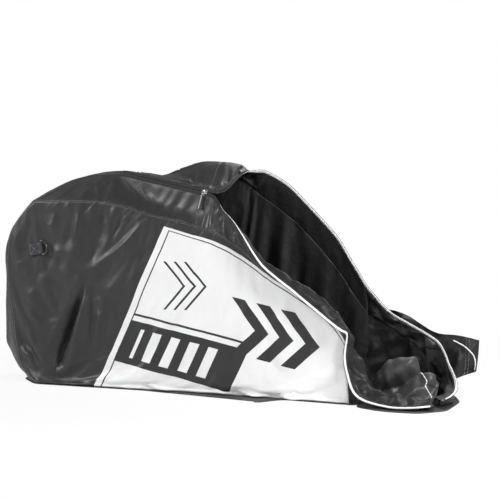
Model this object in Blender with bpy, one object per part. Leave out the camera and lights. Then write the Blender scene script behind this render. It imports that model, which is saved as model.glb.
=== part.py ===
"""Bike travel bag standing half unzipped, as an assembly of separate pieces.

Metres, +Z up. X runs along the bag from its closed rear end (-X) to its open,
slumped front (+X), and -Y is the printed near side. The origin is on the floor,
in the middle of the whole bag.

Outlines of cloth are shares of the bag's length, width and height, read along its
seams. Zip, pull, webbing and ring have real sizes of their own.
"""
import math

import bmesh
import bpy
from mathutils import Matrix, Vector
from mathutils.bvhtree import BVHTree

# Bag, in metres
LENGTH = 1.55          # rear end to the tip of the spread front flap
WIDTH = 0.24           # across the closed body
HEIGHT = 0.69          # floor to the closed top
FABRIC = 0.0007        # coated nylon
FLOOR_FABRIC = 0.0020  # doubled cloth under the wheels
SEAM_GAP = 0.00055     # each panel's distance from its seam line
START_GAP = 0.0010     # the top strips' distance from the rear gusset
TOUCH = 0.0004         # gap between pieces that lie on each other
NEAR_BULGE = 0.014     # fullness of the near panel between its seams
FAR_BULGE = 0.010
FOLD_FADE = 0.030      # over which a panel's folds die away to its seams
RING_FLAT = 0.070      # the near panel stays smooth this far round the ring

# Zip with its coil on the inner face
ZIP_SLOT = 0.0016      # between the two tapes, where the slider's post runs
TAPE_WIDTH = 0.0090
TAPE_THICK = 0.0008
COIL_WIDTH = 0.0046
COIL_THICK = 0.0024
COIL_SETBACK = 0.0012  # tape left beyond the coil
STOP_LENGTH = 0.008
STOP_WALL = 0.0008

# Slider and its two-part pull
SLIDER_LENGTH = 0.022
SLIDER_PLATE = 0.0012
SLIDER_CLEAR = 0.0004
SLIDER_RIM = 0.0008
SLIDER_NOSE = 0.60     # share of the width left at the plate's ends
SLIDER_TAPER = 0.006   # length over which its rear narrows
FORK_AHEAD = 0.003     # slider to where the two tapes part
POST_THICK = 0.0008    # the post that runs in the slot
POST_REAR = 0.002      # rear end of the post, from the slider's middle
BOW_SPAN = 0.0058      # between the bow's legs, across the zip
BOW_HEIGHT = 0.0050    # slider's plate to the bow's centre line
BOW_BAR = 0.0018
BOW_PIVOT = 0.0022     # slider's plate to the pull's hinge
PULL_LENGTH = 0.0205
PULL_WIDTH = 0.0115
PULL_THICK = 0.0014
PULL_BAR = 0.0016      # the plate's end bars, under the bow and in the grip's loop
PULL_LEG = 0.0015
BOW_WINDOW = 0.0060
GRIP_WINDOW = 0.0045
PULL_DROP = math.radians(62)   # how steeply the plate hangs beside the zip
GRIP_LENGTH = 0.034    # stitched length below the loop
GRIP_NECK = 0.005      # stitching to the middle of the loop
GRIP_WIDTH = 0.0070
GRIP_LAYER = 0.0013
GRIP_CLEAR = 0.0004
GRIP_DROP = math.radians(80)

# Carrying ring on the near side
WEBBING_WIDTH = 0.038
WEBBING_THICK = 0.0012
WEBBING_TAIL = 0.040   # stitched length
WEBBING_NECK = 0.007   # stitching to the middle of the loop
LAYER_GAP = 0.00025    # between the two layers of folded webbing
RING_WIRE = 0.0045
RING_INNER = 0.0400    # clear width along the bar
RING_CORNER = 0.0030
RING_DEPTH = 0.0200    # bar's centre to the arc's centre line
RING_CLEAR = 0.0005
RING_TILT = math.radians(10)
RING_X = -0.397        # share of LENGTH, middle of the stitched tail
RING_Z = 0.632         # share of HEIGHT

# Meshing
CLOSED_STEPS = 16      # stations along the closed zip
STRAIGHT_STEPS = 4     # of them on the slider's straight stretch
STEPS_PER_SECTION = 2  # stations for each listed section of the open mouth
FRONT_STEPS = 14      # stations along the slumped front
FOLD_STEPS = 6
FLAP_STEPS = 8
PANEL_SPLIT = 2        # columns of a side panel for each of those stations
SIDE_ROWS = 14         # rows up a side panel, and along the rear gusset
STRIP_ROWS = 5
GUSSET_COLUMNS = 10
TAPE_ROWS = 4

# Outlines, as shares of LENGTH, WIDTH and HEIGHT. A height of 0 lies on the floor panel.
NEAR_FOOT = [
    (-0.387, -0.550, 0.0), (-0.323, -0.533, 0.0), (-0.161, -0.492, 0.0),
    (-0.032, -0.467, 0.0), (0.129, -0.467, 0.0), (0.284, -0.492, 0.0),
]
NEAR_REAR = [
    (-0.387, -0.550, 0.0), (-0.431, -0.467, 0.065), (-0.448, -0.425, 0.174),
    (-0.455, -0.417, 0.290), (-0.466, -0.417, 0.449), (-0.467, -0.417, 0.580),
    (-0.459, -0.417, 0.696), (-0.432, -0.417, 0.790), (-0.397, -0.425, 0.852),
]
NEAR_FRONT = [(0.284, -0.492, 0.0), (0.281, -0.500, 0.130), (0.279, -0.450, 0.246)]
NEAR_SEAM_CLOSED = [
    (-0.397, -0.425, 0.852), (-0.323, -0.438, 0.857), (-0.258, -0.442, 0.855),
    (-0.194, -0.446, 0.836), (-0.129, -0.450, 0.799), (-0.071, -0.450, 0.774),
    (-0.018, -0.448, 0.742),
]
NEAR_CREST_CLOSED = [
    (-0.420, -0.229, 0.857), (-0.385, -0.235, 0.894), (-0.323, -0.240, 0.925), (-0.258, -0.225, 0.932),
    (-0.194, -0.190, 0.888), (-0.158, -0.188, 0.862), (-0.129, -0.207, 0.848), (-0.071, -0.285, 0.828),
    (-0.018, -0.345, 0.820),
]
ZIP_LINE = [
    (-0.426, 0.000, 0.858), (-0.387, 0.000, 0.910), (-0.342, 0.000, 0.955), (-0.284, 0.000, 0.984),
    (-0.226, -0.025, 0.987), (-0.158, -0.108, 0.962),
]
ZIP_ROLLS = [0, 0, 5, 20, 42, 55]   # degrees that the zip leans to the near side at those points
SLIDER_AT = (-0.023, -0.292, 0.903)
# The mouth ahead of the slider: free edge, crest of the cloth and seam, section by section
NEAR_MOUTH = [
    ((-0.004, -0.322, 0.892), (-0.006, -0.357, 0.820), (-0.005, -0.446, 0.734)),
    ((0.004, -0.341, 0.878), (0.003, -0.369, 0.813), (0.006, -0.444, 0.725)),
    ((0.0125, -0.368, 0.855), (0.013, -0.377, 0.801), (0.018, -0.442, 0.714)),
    ((0.022, -0.405, 0.825), (0.024, -0.384, 0.789), (0.031, -0.440, 0.698)),
    ((0.034, -0.445, 0.803), (0.035, -0.397, 0.782), (0.043, -0.438, 0.682)),
    ((0.046, -0.487, 0.780), (0.046, -0.420, 0.772), (0.056, -0.436, 0.660)),
    ((0.058, -0.525, 0.750), (0.058, -0.450, 0.752), (0.070, -0.434, 0.636)),
    ((0.074, -0.560, 0.702), (0.076, -0.482, 0.712), (0.090, -0.433, 0.598)),
    ((0.111, -0.575, 0.583), (0.112, -0.498, 0.618), (0.122, -0.435, 0.538)),
    ((0.168, -0.575, 0.484), (0.168, -0.500, 0.536), (0.168, -0.438, 0.478)),
    ((0.219, -0.575, 0.396), (0.222, -0.500, 0.473), (0.222, -0.440, 0.402)),
    ((0.258, -0.575, 0.330), (0.262, -0.504, 0.396), (0.258, -0.442, 0.326)),
    ((0.281, -0.575, 0.299), (0.284, -0.513, 0.322), (0.279, -0.450, 0.246)),
]
FAR_MOUTH = [
    ((-0.003, -0.300, 0.898), (-0.010, 0.225, 1.042), (-0.009, 0.457, 0.977)),
    ((0.006, -0.280, 0.900), (-0.003, 0.250, 1.041), (-0.001, 0.468, 0.968)),
    ((0.014, -0.242, 0.905), (0.004, 0.280, 1.039), (0.006, 0.477, 0.961)),
    ((0.020, -0.190, 0.913), (0.010, 0.310, 1.037), (0.012, 0.485, 0.954)),
    ((0.023, -0.042, 0.939), (0.016, 0.345, 1.034), (0.019, 0.492, 0.945)),
    ((0.026, 0.092, 0.961), (0.018, 0.375, 1.030), (0.025, 0.498, 0.935)),
    ((0.028, 0.200, 0.978), (0.021, 0.420, 1.024), (0.030, 0.504, 0.925)),
    ((0.032, 0.300, 0.994), (0.026, 0.462, 1.006), (0.036, 0.509, 0.912)),
    ((0.039, 0.345, 0.998), (0.034, 0.480, 0.980), (0.044, 0.513, 0.898)),
    ((0.047, 0.385, 1.001), (0.047, 0.486, 0.952), (0.055, 0.517, 0.880)),
    ((0.068, 0.430, 0.998), (0.074, 0.487, 0.920), (0.078, 0.519, 0.845)),
    ((0.107, 0.438, 0.952), (0.107, 0.488, 0.878), (0.107, 0.521, 0.797)),
    ((0.133, 0.442, 0.904), (0.133, 0.492, 0.830), (0.135, 0.521, 0.745)),
    ((0.176, 0.446, 0.806), (0.176, 0.496, 0.732), (0.176, 0.521, 0.652)),
    ((0.220, 0.446, 0.700), (0.220, 0.496, 0.623), (0.220, 0.521, 0.536)),
    ((0.247, 0.450, 0.604), (0.247, 0.500, 0.529), (0.247, 0.525, 0.449)),
    ((0.281, 0.465, 0.480), (0.281, 0.515, 0.405), (0.281, 0.546, 0.340)),
]
FAR_CREST_CLOSED = [
    (-0.420, 0.229, 0.857), (-0.385, 0.240, 0.900), (-0.323, 0.250, 0.957), (-0.258, 0.229, 0.991),
    (-0.181, 0.167, 0.997),
    (-0.123, 0.125, 0.987), (-0.100, 0.125, 1.012), (-0.058, 0.150, 1.039), (-0.018, 0.205, 1.041),
]
FAR_SEAM_CLOSED = [
    (-0.397, 0.425, 0.852), (-0.323, 0.442, 0.867), (-0.258, 0.446, 0.878), (-0.181, 0.433, 0.910),
    (-0.123, 0.417, 0.942), (-0.065, 0.417, 0.986), (-0.018, 0.445, 0.985),
]
FAR_REAR = [(x, -y, z) for x, y, z in NEAR_REAR]
FAR_FOOT = [
    (-0.387, 0.550, 0.0), (-0.323, 0.542, 0.0), (-0.161, 0.521, 0.0), (0.065, 0.521, 0.0),
    (0.281, 0.546, 0.0),
]
FAR_FRONT = [(0.281, 0.546, 0.0), (0.281, 0.563, 0.174), (0.281, 0.546, 0.340)]
GUSSET_MIDDLE = [
    (-0.440, 0.0, 0.0), (-0.468, 0.0, 0.072), (-0.489, 0.0, 0.145), (-0.497, 0.0, 0.290),
    (-0.4995, 0.0, 0.449), (-0.498, 0.0, 0.580), (-0.487, 0.0, 0.696), (-0.460, 0.0, 0.790),
    (-0.426, 0.0, 0.858),
]
GUSSET_FULLNESS = 2.6  # higher keeps the rear end flatter between its seams

# Main folds of the side panels: a line in shares of LENGTH and HEIGHT, half width, and height outwards
NEAR_FOLDS = [
    ([(-0.277, 0.507), (-0.310, 0.348), (-0.342, 0.174), (-0.352, 0.058)], 0.022, -0.024),
    ([(-0.279, 0.522), (-0.326, 0.348), (-0.361, 0.130)], 0.028, 0.013),
    ([(-0.274, 0.510), (-0.295, 0.290), (-0.323, 0.087)], 0.026, 0.017),
    ([(-0.113, 0.797), (-0.185, 0.661), (-0.260, 0.552), (-0.281, 0.500)], 0.028, 0.015),
    ([(-0.232, 0.848), (-0.242, 0.754), (-0.274, 0.580)], 0.024, -0.010),
    ([(-0.326, 0.812), (-0.343, 0.677), (-0.387, 0.449), (-0.413, 0.341)], 0.030, 0.010),
    ([(-0.290, 0.812), (-0.301, 0.680), (-0.335, 0.468)], 0.026, 0.008),
    ([(-0.445, 0.290), (-0.413, 0.254), (-0.371, 0.072)], 0.024, 0.012),
    ([(-0.439, 0.203), (-0.406, 0.159), (-0.387, 0.087)], 0.020, -0.010),
    ([(-0.077, 0.725), (-0.123, 0.551), (-0.168, 0.362)], 0.040, 0.006),
    ([(-0.013, 0.739), (-0.077, 0.406), (-0.103, 0.232)], 0.036, 0.007),
    ([(0.103, 0.551), (0.077, 0.391), (0.058, 0.217)], 0.030, 0.007),
    ([(0.194, 0.391), (0.161, 0.290), (0.129, 0.130)], 0.026, 0.008),
    ([(0.252, 0.304), (0.226, 0.232), (0.213, 0.116)], 0.024, -0.009),
    ([(-0.213, 0.087), (-0.161, 0.065), (-0.103, 0.072)], 0.024, 0.008),
    ([(-0.052, 0.058), (0.013, 0.068), (0.077, 0.055)], 0.024, 0.008),
]
FAR_FOLDS = [
    ([(-0.426, 0.290), (-0.374, 0.435), (-0.310, 0.609), (-0.258, 0.783)], 0.030, 0.014),
    ([(-0.361, 0.116), (-0.323, 0.319), (-0.258, 0.522)], 0.026, -0.014),
    ([(-0.194, 0.812), (-0.213, 0.580), (-0.245, 0.348), (-0.258, 0.145)], 0.032, 0.013),
    ([(-0.097, 0.870), (-0.116, 0.638), (-0.155, 0.377)], 0.028, -0.010),
    ([(0.013, 0.899), (-0.013, 0.652), (-0.039, 0.362), (-0.052, 0.130)], 0.030, 0.013),
    ([(0.077, 0.783), (0.058, 0.551), (0.045, 0.290)], 0.022, 0.011),
    ([(0.103, 0.725), (0.094, 0.507), (0.084, 0.261)], 0.020, -0.010),
    ([(0.142, 0.638), (0.129, 0.435), (0.123, 0.174)], 0.022, 0.012),
    ([(0.194, 0.551), (0.181, 0.377), (0.168, 0.145)], 0.022, -0.010),
    ([(0.245, 0.391), (0.226, 0.261), (0.206, 0.101)], 0.022, 0.011),
]

# Slumped front, from the end of the panels to the bottom end of the zip
NEAR_EDGE_FRONT = [
    (0.276, -0.587, 0.203), (0.283, -0.596, 0.123), (0.295, -0.617, 0.058),
    (0.316, -0.633, 0.024), (0.368, -0.692, 0.014), (0.413, -0.667, 0.014), (0.448, -0.563, 0.014),
]
NEAR_CREST_FRONT = [
    (0.298, -0.483, 0.196), (0.308, -0.475, 0.123), (0.323, -0.467, 0.075),
    (0.342, -0.467, 0.062), (0.381, -0.492, 0.058), (0.419, -0.467, 0.052), (0.445, -0.417, 0.046),
]
NEAR_BASE_FRONT = [
    (0.310, -0.408, 0.180), (0.318, -0.392, 0.110), (0.329, -0.367, 0.050), (0.342, -0.342, 0.010),
    (0.356, -0.333, 0.002), (0.387, -0.342, 0.0), (0.419, -0.333, 0.0), (0.442, -0.317, 0.0),
]
FOLD_NEAR_FOOT = [(0.335, -0.230, 0.0), (0.374, -0.255, 0.0), (0.413, -0.255, 0.0), (0.434, -0.210, 0.0)]
FOLD_RIDGE = [(0.345, -0.083, 0.174), (0.377, -0.042, 0.217), (0.413, -0.021, 0.196), (0.436, 0.0, 0.123)]
FOLD_FAR_FOOT = [(0.339, 0.229, 0.0), (0.377, 0.250, 0.0), (0.413, 0.250, 0.0), (0.430, 0.188, 0.0)]
FLAP_FOOT = [
    (0.2815, 0.546, 0.0), (0.329, 0.558, 0.001), (0.384, 0.558, 0.006), (0.429, 0.600, 0.030),
    (0.466, 0.700, 0.070), (0.495, 0.758, 0.094),
]
FLAP_MIDDLE = [
    (0.2815, 0.563, 0.174), (0.329, 0.608, 0.181), (0.384, 0.650, 0.159), (0.429, 0.700, 0.152),
    (0.466, 0.758, 0.162), (0.498, 0.788, 0.165),
]
FLAP_TOP = [
    (0.2815, 0.546, 0.338), (0.326, 0.582, 0.360), (0.361, 0.605, 0.340), (0.413, 0.668, 0.268),
    (0.460, 0.742, 0.254), (0.4995, 0.790, 0.234),
]
FAR_EDGE_FRONT = [
    (0.326, 0.471, 0.371), (0.381, 0.483, 0.301), (0.429, 0.480, 0.235),
    (0.452, 0.370, 0.151), (0.474, 0.130, 0.084), (0.477, -0.104, 0.046), (0.461, -0.354, 0.029),
]
FAR_CREST_FRONT = [
    (0.323, 0.520, 0.315), (0.374, 0.530, 0.245), (0.412, 0.520, 0.178),
    (0.430, 0.420, 0.125), (0.450, 0.190, 0.080), (0.453, -0.050, 0.048), (0.441, -0.250, 0.030),
]
FAR_SEAM_FRONT = [
    (0.281, 0.534, 0.350), (0.294, 0.524, 0.326), (0.326, 0.524, 0.292), (0.374, 0.540, 0.222),
    (0.410, 0.545, 0.140),
    (0.424, 0.420, 0.085), (0.443, 0.200, 0.045), (0.446, -0.020, 0.024), (0.436, -0.200, 0.014),
]
FLOOR_OUTLINE = [
    (-0.446, 0.250), (-0.446, -0.250), (-0.392, -0.604), (-0.161, -0.563), (0.084, -0.533),
    (0.110, -0.792), (0.152, -0.533), (0.3010, -0.567), (0.3010, 0.604), (-0.392, 0.604),
]
FRONT_FLOOR_OUTLINE = [
    (0.3016, 0.604), (0.3016, -0.625), (0.335, -0.729), (0.368, -0.783), (0.426, -0.758),
    (0.471, -0.500), (0.481, 0.083), (0.461, 0.458), (0.400, 0.604),
]


def at(share):
    """A point of the bag, from its shares of length, width and height."""
    low = FLOOR_FABRIC + FABRIC
    return Vector((share[0] * LENGTH, share[1] * WIDTH, low + share[2] * (HEIGHT - low)))


def clear_scene():
    for thing in list(bpy.data.objects):
        bpy.data.objects.remove(thing, do_unlink=True)


def material(name, colour, roughness, metallic=0.0):
    made = bpy.data.materials.new(name)
    made.use_nodes = True
    shader = made.node_tree.nodes["Principled BSDF"]
    shader.inputs["Base Color"].default_value = (*colour, 1.0)
    shader.inputs["Roughness"].default_value = roughness
    shader.inputs["Metallic"].default_value = metallic
    return made


def smooth_through(stops, steps=10):
    """Close points on a smooth curve through the given ones."""
    ring = [stops[0] * 2 - stops[1], *stops, stops[-1] * 2 - stops[-2]]
    fine = []
    for p0, p1, p2, p3 in zip(ring, ring[1:], ring[2:], ring[3:]):
        for i in range(steps):
            t = i / steps
            fine.append(0.5 * (2 * p1 + (p2 - p0) * t + (2 * p0 - 5 * p1 + 4 * p2 - p3) * t * t
                               + (3 * p1 - 3 * p2 + p3 - p0) * t ** 3))
    fine.append(stops[-1].copy())
    return fine


def reader(points):
    """A polyline as a function of its share of length."""
    run = [0.0]
    for a, b in zip(points, points[1:]):
        run.append(run[-1] + (b - a).length)

    def read(share):
        target = min(max(share, 0.0), 1.0) * run[-1]
        for k in range(1, len(run)):
            if run[k] >= target:
                return points[k - 1].lerp(points[k], (target - run[k - 1]) / max(run[k] - run[k - 1], 1e-9))
        return points[-1].copy()

    return read


def curve(outline):
    return reader(smooth_through([p if isinstance(p, Vector) else at(p) for p in outline]))


def stepped(points):
    """Points as a function of share, in even steps from one to the next."""
    def read(share):
        place = min(max(share, 0.0), 1.0) * (len(points) - 1)
        low = min(int(place), len(points) - 2)
        return points[low].lerp(points[low + 1], place - low)

    return read


def joined(first, second, split):
    """Two curves end to end, the first up to the split."""
    def read(share):
        if share <= split:
            return first(share / split)
        return second((share - split) / (1 - split))

    return read


def add(name, mesh, skin, smooth=True, place=None):
    data = bpy.data.meshes.new(name)
    bmesh.ops.recalc_face_normals(mesh, faces=mesh.faces)
    mesh.to_mesh(data)
    mesh.free()
    if smooth:
        data.shade_smooth()
    data.materials.append(skin)
    made = bpy.data.objects.new(name, data)
    bpy.context.scene.collection.objects.link(made)
    if place is not None:
        made.matrix_world = place
    return made


def cloth(name, columns, skin, thickness=FABRIC):
    """Fabric of one thickness over a grid of points, given as columns."""
    mesh = bmesh.new()
    grid = [[mesh.verts.new(p) for p in column] for column in columns]
    for left, right in zip(grid, grid[1:]):
        for j in range(len(left) - 1):
            mesh.faces.new([left[j], right[j], right[j + 1]])
            mesh.faces.new([left[j], right[j + 1], left[j + 1]])
    made = add(name, mesh, skin)
    shell = made.modifiers.new("Thickness", "SOLIDIFY")
    shell.thickness = thickness
    shell.offset = 0
    return made


def shares(count, length, start, end):
    """Even stations along a length, the first and last drawn in from its ends."""
    return [start / length, *[k / count for k in range(1, count)], 1 - end / length]


def drawn_in(rails, gap, end):
    """The share at which every rail is a gap away from its start (end 0) or its end (end 1)."""
    moved = 0.0
    while any((rail(abs(end - moved)) - rail(end)).length < gap for rail in rails):
        moved += 0.0002
    return abs(end - moved)


def run_length(read, steps=24):
    return sum((read(k / steps) - read((k + 1) / steps)).length for k in range(steps))


def top_seam(rails, sections):
    """A side's top seam with the closed stretch and the mouth end to end, in the strips' own steps."""
    stations = CLOSED_STEPS + mouth_steps(sections)
    read = joined(rails["closed"][-1], rails["open"][-1], CLOSED_STEPS / stations)
    return stepped([read(k / stations) for k in range(stations + 1)])


def fold_rise(folds, spot):
    """How far the folds push a spot of a side panel outwards."""
    rise = 0.0
    for line, half_width, height in folds:
        points = [Vector((x * LENGTH, z * HEIGHT)) for x, z in line]
        whole = sum((b - a).length for a, b in zip(points, points[1:]))
        nearest, share, run = LENGTH, 0.0, 0.0
        for a, b in zip(points, points[1:]):
            step = b - a
            part = min(max((spot - a).dot(step) / step.length_squared, 0.0), 1.0)
            gap = (spot - a - step * part).length
            if gap < nearest:
                nearest, share = gap, (run + step.length * part) / whole
            run += step.length
        faded = math.sin(math.pi * min(max(share, 0.02), 0.98)) ** 0.6
        rise += height * faded * math.exp(-(nearest / half_width) ** 2)
    return rise


def panel(name, side, edges, bulge, folds, columns, skin):
    """A side panel between its foot, top, rear and front, full and folded along Y between them."""
    foot, top, rear, front = edges
    length, height = run_length(foot), run_length(rear)
    ring = Vector((RING_X * LENGTH, RING_Z * HEIGHT))

    def read(u, v):
        point = foot(u).lerp(top(u), v) + rear(v).lerp(front(v), u)
        point -= foot(0).lerp(foot(1), u).lerp(top(0).lerp(top(1), u), v)
        spot = Vector((point.x, point.z))
        hem = min(u * length, (1 - u) * length, v * height, (1 - v) * height)
        calm = min(hem / FOLD_FADE, 1.0)
        if side < 0:
            calm *= 1 - math.exp(-((spot - ring).length / RING_FLAT) ** 4)
        full = bulge * math.sin(math.pi * u) ** 0.7 * math.sin(math.pi * v)
        point.y += side * (full + calm * fold_rise(folds, spot))
        return point

    along = shares(columns, length, SEAM_GAP, SEAM_GAP)
    up = shares(SIDE_ROWS, height, 0, SEAM_GAP)
    return cloth(name, [[read(u, v) for v in up] for u in along], skin)


def strip(name, rails, steps, skin, start=0.0, end=0.0, last_gap=SEAM_GAP):
    """A band over rails of matching stations, from its first rail to a seam at its last."""
    columns = []
    inner = [k / steps for k in range(1, steps)]
    for share in [drawn_in(rails, start, 0), *inner, drawn_in(rails, end, 1)]:
        profile = reader(smooth_through([rail(share) for rail in rails]))
        width = run_length(profile, 8)
        columns.append([profile(v) for v in shares(STRIP_ROWS, width, 0, last_gap)])
    return cloth(name, columns, skin)


def gusset(name, left, middle, right, steps, rows, skin):
    """The rear end: full behind its middle line, drawn in to a seam on each side."""
    columns = []
    for share in shares(steps, run_length(left), 0, SEAM_GAP):
        a, m, b = left(share), middle(share), right(share)
        half = (b - a).length / 2
        column = []
        for k in range(rows + 1):
            q = (2 * k / rows - 1) * (1 - SEAM_GAP / half)
            weight = abs(q) ** GUSSET_FULLNESS
            side = b if q > 0 else a
            drawn = m.lerp(side, weight)
            column.append(Vector((drawn.x, side.y * abs(q), drawn.z)))
        columns.append(column)
    return cloth(name, columns, skin)


def plate(name, outline, skin):
    """Flat doubled cloth on the ground."""
    mesh = bmesh.new()
    face = mesh.faces.new([mesh.verts.new((x * LENGTH, y * WIDTH, 0)) for x, y in outline])
    raised = bmesh.ops.extrude_face_region(mesh, geom=[face])
    tops = [v for v in raised["geom"] if isinstance(v, bmesh.types.BMVert)]
    bmesh.ops.translate(mesh, verts=tops, vec=(0, 0, FLOOR_FABRIC))
    return add(name, mesh, skin, smooth=False)


def rings_mesh(rings, closed=False):
    """A tube's skin over rings of points, capped unless it closes on itself."""
    mesh = bmesh.new()
    loops = [[mesh.verts.new(p) for p in ring] for ring in rings]
    pairs = list(zip(loops, loops[1:]))
    if closed:
        pairs.append((loops[-1], loops[0]))
    for a, b in pairs:
        for k in range(len(a)):
            mesh.faces.new([a[k], a[(k + 1) % len(a)], b[(k + 1) % len(a)], b[k]])
    if not closed:
        mesh.faces.new(loops[0][::-1])
        mesh.faces.new(loops[-1])
    return mesh


def oval(middle, side, up, half_side, half_up, sides):
    ring = []
    for k in range(sides):
        turn = 2 * math.pi * (k + 0.5) / sides
        ring.append(middle + side * (half_side * math.cos(turn)) + up * (half_up * math.sin(turn)))
    return ring


def box(low, high):
    mesh = bmesh.new()
    bmesh.ops.create_cube(mesh, size=1.0)
    for vert in mesh.verts:
        for axis in range(3):
            vert.co[axis] = (low[axis] + high[axis]) / 2 + vert.co[axis] * (high[axis] - low[axis])
    return mesh


def prism(name, outline, holes, thickness, skin, place):
    """A plate in its own XY plane, with holes, centred on its thickness."""
    mesh = bmesh.new()
    edges = []
    for ring in [outline, *holes]:
        loop = [mesh.verts.new((x, y, -thickness / 2)) for x, y in ring]
        edges += [mesh.edges.new(pair) for pair in zip(loop, loop[1:] + loop[:1])]
    bmesh.ops.triangle_fill(mesh, use_beauty=True, use_dissolve=False, edges=edges)
    raised = bmesh.ops.extrude_face_region(mesh, geom=mesh.faces[:])
    tops = [v for v in raised["geom"] if isinstance(v, bmesh.types.BMVert)]
    bmesh.ops.translate(mesh, verts=tops, vec=(0, 0, thickness))
    return add(name, mesh, skin, smooth=False, place=place)


def rectangle(x_low, x_high, y_low, y_high):
    return [(x_low, y_low), (x_high, y_low), (x_high, y_high), (x_low, y_high)]


def folded_band(tail, neck, bar_radius, layer):
    """Side view of a band folded round a bar at (0, 0): its tail runs to -X, stitched flat.

    The lower layer runs straight under the bar, so the band lies on what is below it.
    """
    radius = bar_radius + layer / 2
    low = -radius
    high = low + layer + LAYER_GAP
    path = [Vector((-neck - tail, low)), Vector((-neck, low))]
    for k in range(11):
        turn = math.radians(-90 + 205 * k / 10)
        path.append(Vector((radius * math.cos(turn), radius * math.sin(turn))))
    path += [Vector((-neck, high)), Vector((-neck - tail, high))]
    outer, inner = [], []
    for k, point in enumerate(path):
        ahead = (path[min(k + 1, len(path) - 1)] - path[max(k - 1, 0)]).normalized()
        normal = Vector((ahead.y, -ahead.x)) * (layer / 2)
        outer.append(tuple(point + normal))
        inner.append(tuple(point - normal))
    return outer + inner[::-1]


def frame(origin, x_axis, y_axis):
    """A placement with its X along x_axis and its Y as near y_axis as it can be."""
    x_dir = x_axis.normalized()
    z_dir = x_dir.cross(y_axis).normalized()
    y_dir = z_dir.cross(x_dir)
    return Matrix.Translation(origin) @ Matrix((x_dir, y_dir, z_dir)).transposed().to_4x4()


def join(name, pieces):
    """Overlapping pieces made one body by Boolean unions."""
    body = pieces[0]
    body.name = name
    body.data.name = name
    for k, piece in enumerate(pieces[1:]):
        piece.hide_render = True
        piece.display_type = "WIRE"
        union = body.modifiers.new(f"Join {k}", "BOOLEAN")
        union.operation = "UNION"
        union.solver = "EXACT"
        union.object = piece
    return body


def rolled(ahead, roll):
    """The way to the near cloth and the outer normal of the zip, at a roll to the near side."""
    ahead = ahead.normalized()
    level = ahead.cross(Vector((0, 0, 1))).normalized()
    above = level.cross(ahead)
    return level * math.cos(roll) - above * math.sin(roll), above * math.cos(roll) + level * math.sin(roll)


def zip_way():
    """The direction of the straight stretch behind the slider, forwards."""
    return (at(SLIDER_AT) - at(ZIP_LINE[-1])).normalized()


def roll_at(share):
    """The roll at a share of the bend, from even steps between the listed ones."""
    place = share * (len(ZIP_ROLLS) - 1)
    low = min(int(place), len(ZIP_ROLLS) - 2)
    return math.radians(ZIP_ROLLS[low] + (ZIP_ROLLS[low + 1] - ZIP_ROLLS[low]) * (place - low))


def closed_stations(side):
    """Along the closed zip: (edge point, way to the cloth, outer normal), on one side."""
    bend = [at(p) for p in ZIP_LINE]
    fork = at(SLIDER_AT) + zip_way() * (SLIDER_LENGTH / 2 + FORK_AHEAD)
    fine = smooth_through([*bend, bend[-1].lerp(fork, 0.5)])
    bent = reader(fine[:(len(bend) - 1) * 10 + 1])
    curved = CLOSED_STEPS - STRAIGHT_STEPS
    points = [(bent(k / curved), roll_at(k / curved)) for k in range(curved)]
    points += [(bend[-1].lerp(fork, k / STRAIGHT_STEPS), roll_at(1)) for k in range(STRAIGHT_STEPS + 1)]
    stations = []
    for k, (point, roll) in enumerate(points):
        ahead = points[min(k + 1, len(points) - 1)][0] - points[max(k - 1, 0)][0]
        if k >= curved:
            ahead = zip_way()
        way, normal = rolled(ahead, roll)
        way = way * -side
        stations.append((point + way * (ZIP_SLOT / 2), way, normal))
    return stations


def led_stations(side, edges, crests, before):
    """Stations along an open edge, each turned towards its crest, after those before it."""
    stations = list(before)
    line = [before[-1][0], *edges]
    for k, edge in enumerate(edges):
        ahead = (line[min(k + 2, len(line) - 1)] - line[k]).normalized()
        way = crests[k] - edge
        way = (way - ahead * way.dot(ahead)).normalized()
        stations.append((edge, way, way.cross(ahead) * -side))
    return stations


def mouth_steps(sections):
    return STEPS_PER_SECTION * len(sections)


def side_rails(side, sections, seam_closed, crest_closed, edge_front, crest_front):
    """The stations of one side's zip and the rails of its strips, as functions of share."""
    closed = closed_stations(side)
    edges = [closed[-1][0], *[at(section[0]) for section in sections]]
    crests = [at(point) for point in [crest_closed[-1], *[section[1] for section in sections]]]
    seams = [at(point) for point in [seam_closed[-1], *[section[2] for section in sections]]]
    open_edge, open_crest, open_seam = (stepped(smooth_through(points)) for points in (edges, crests, seams))
    count = mouth_steps(sections)
    steps = [k / count for k in range(1, count + 1)]
    stations = led_stations(side, [open_edge(s) for s in steps], [open_crest(s) for s in steps], closed)
    front_edge = curve([sections[-1][0], *edge_front])
    front_crest = curve([sections[-1][1], *crest_front])
    steps = [k / FRONT_STEPS for k in range(1, FRONT_STEPS + 1)]
    stations = led_stations(side, [front_edge(s) for s in steps], [front_crest(s) for s in steps], stations)
    hems = [edge + way * (TAPE_WIDTH + TOUCH) for edge, way, _ in stations]
    fork = CLOSED_STEPS
    end = CLOSED_STEPS + count
    rails = {
        "closed": [stepped(hems[:fork + 1]), curve(crest_closed), curve(seam_closed)],
        "open": [stepped(hems[fork:end + 1]), open_crest, open_seam],
        "front": [stepped(hems[end:]), front_crest],
    }
    return stations, rails


def tape(name, stations, skin):
    rows = [TAPE_WIDTH * k / TAPE_ROWS for k in range(TAPE_ROWS + 1)]
    columns = [[edge + way * reach for reach in rows] for edge, way, _ in stations]
    return cloth(name, columns, skin, TAPE_THICK)


def coil(name, stations, skin):
    reach = COIL_SETBACK + COIL_WIDTH / 2
    depth = TAPE_THICK / 2 + TOUCH + COIL_THICK / 2
    rings = []
    for edge, way, normal in stations:
        middle = edge + way * reach - normal * depth
        rings.append(oval(middle, way, normal, COIL_WIDTH / 2, COIL_THICK / 2, 8))
    return add(name, rings_mesh(rings), skin)


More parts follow.
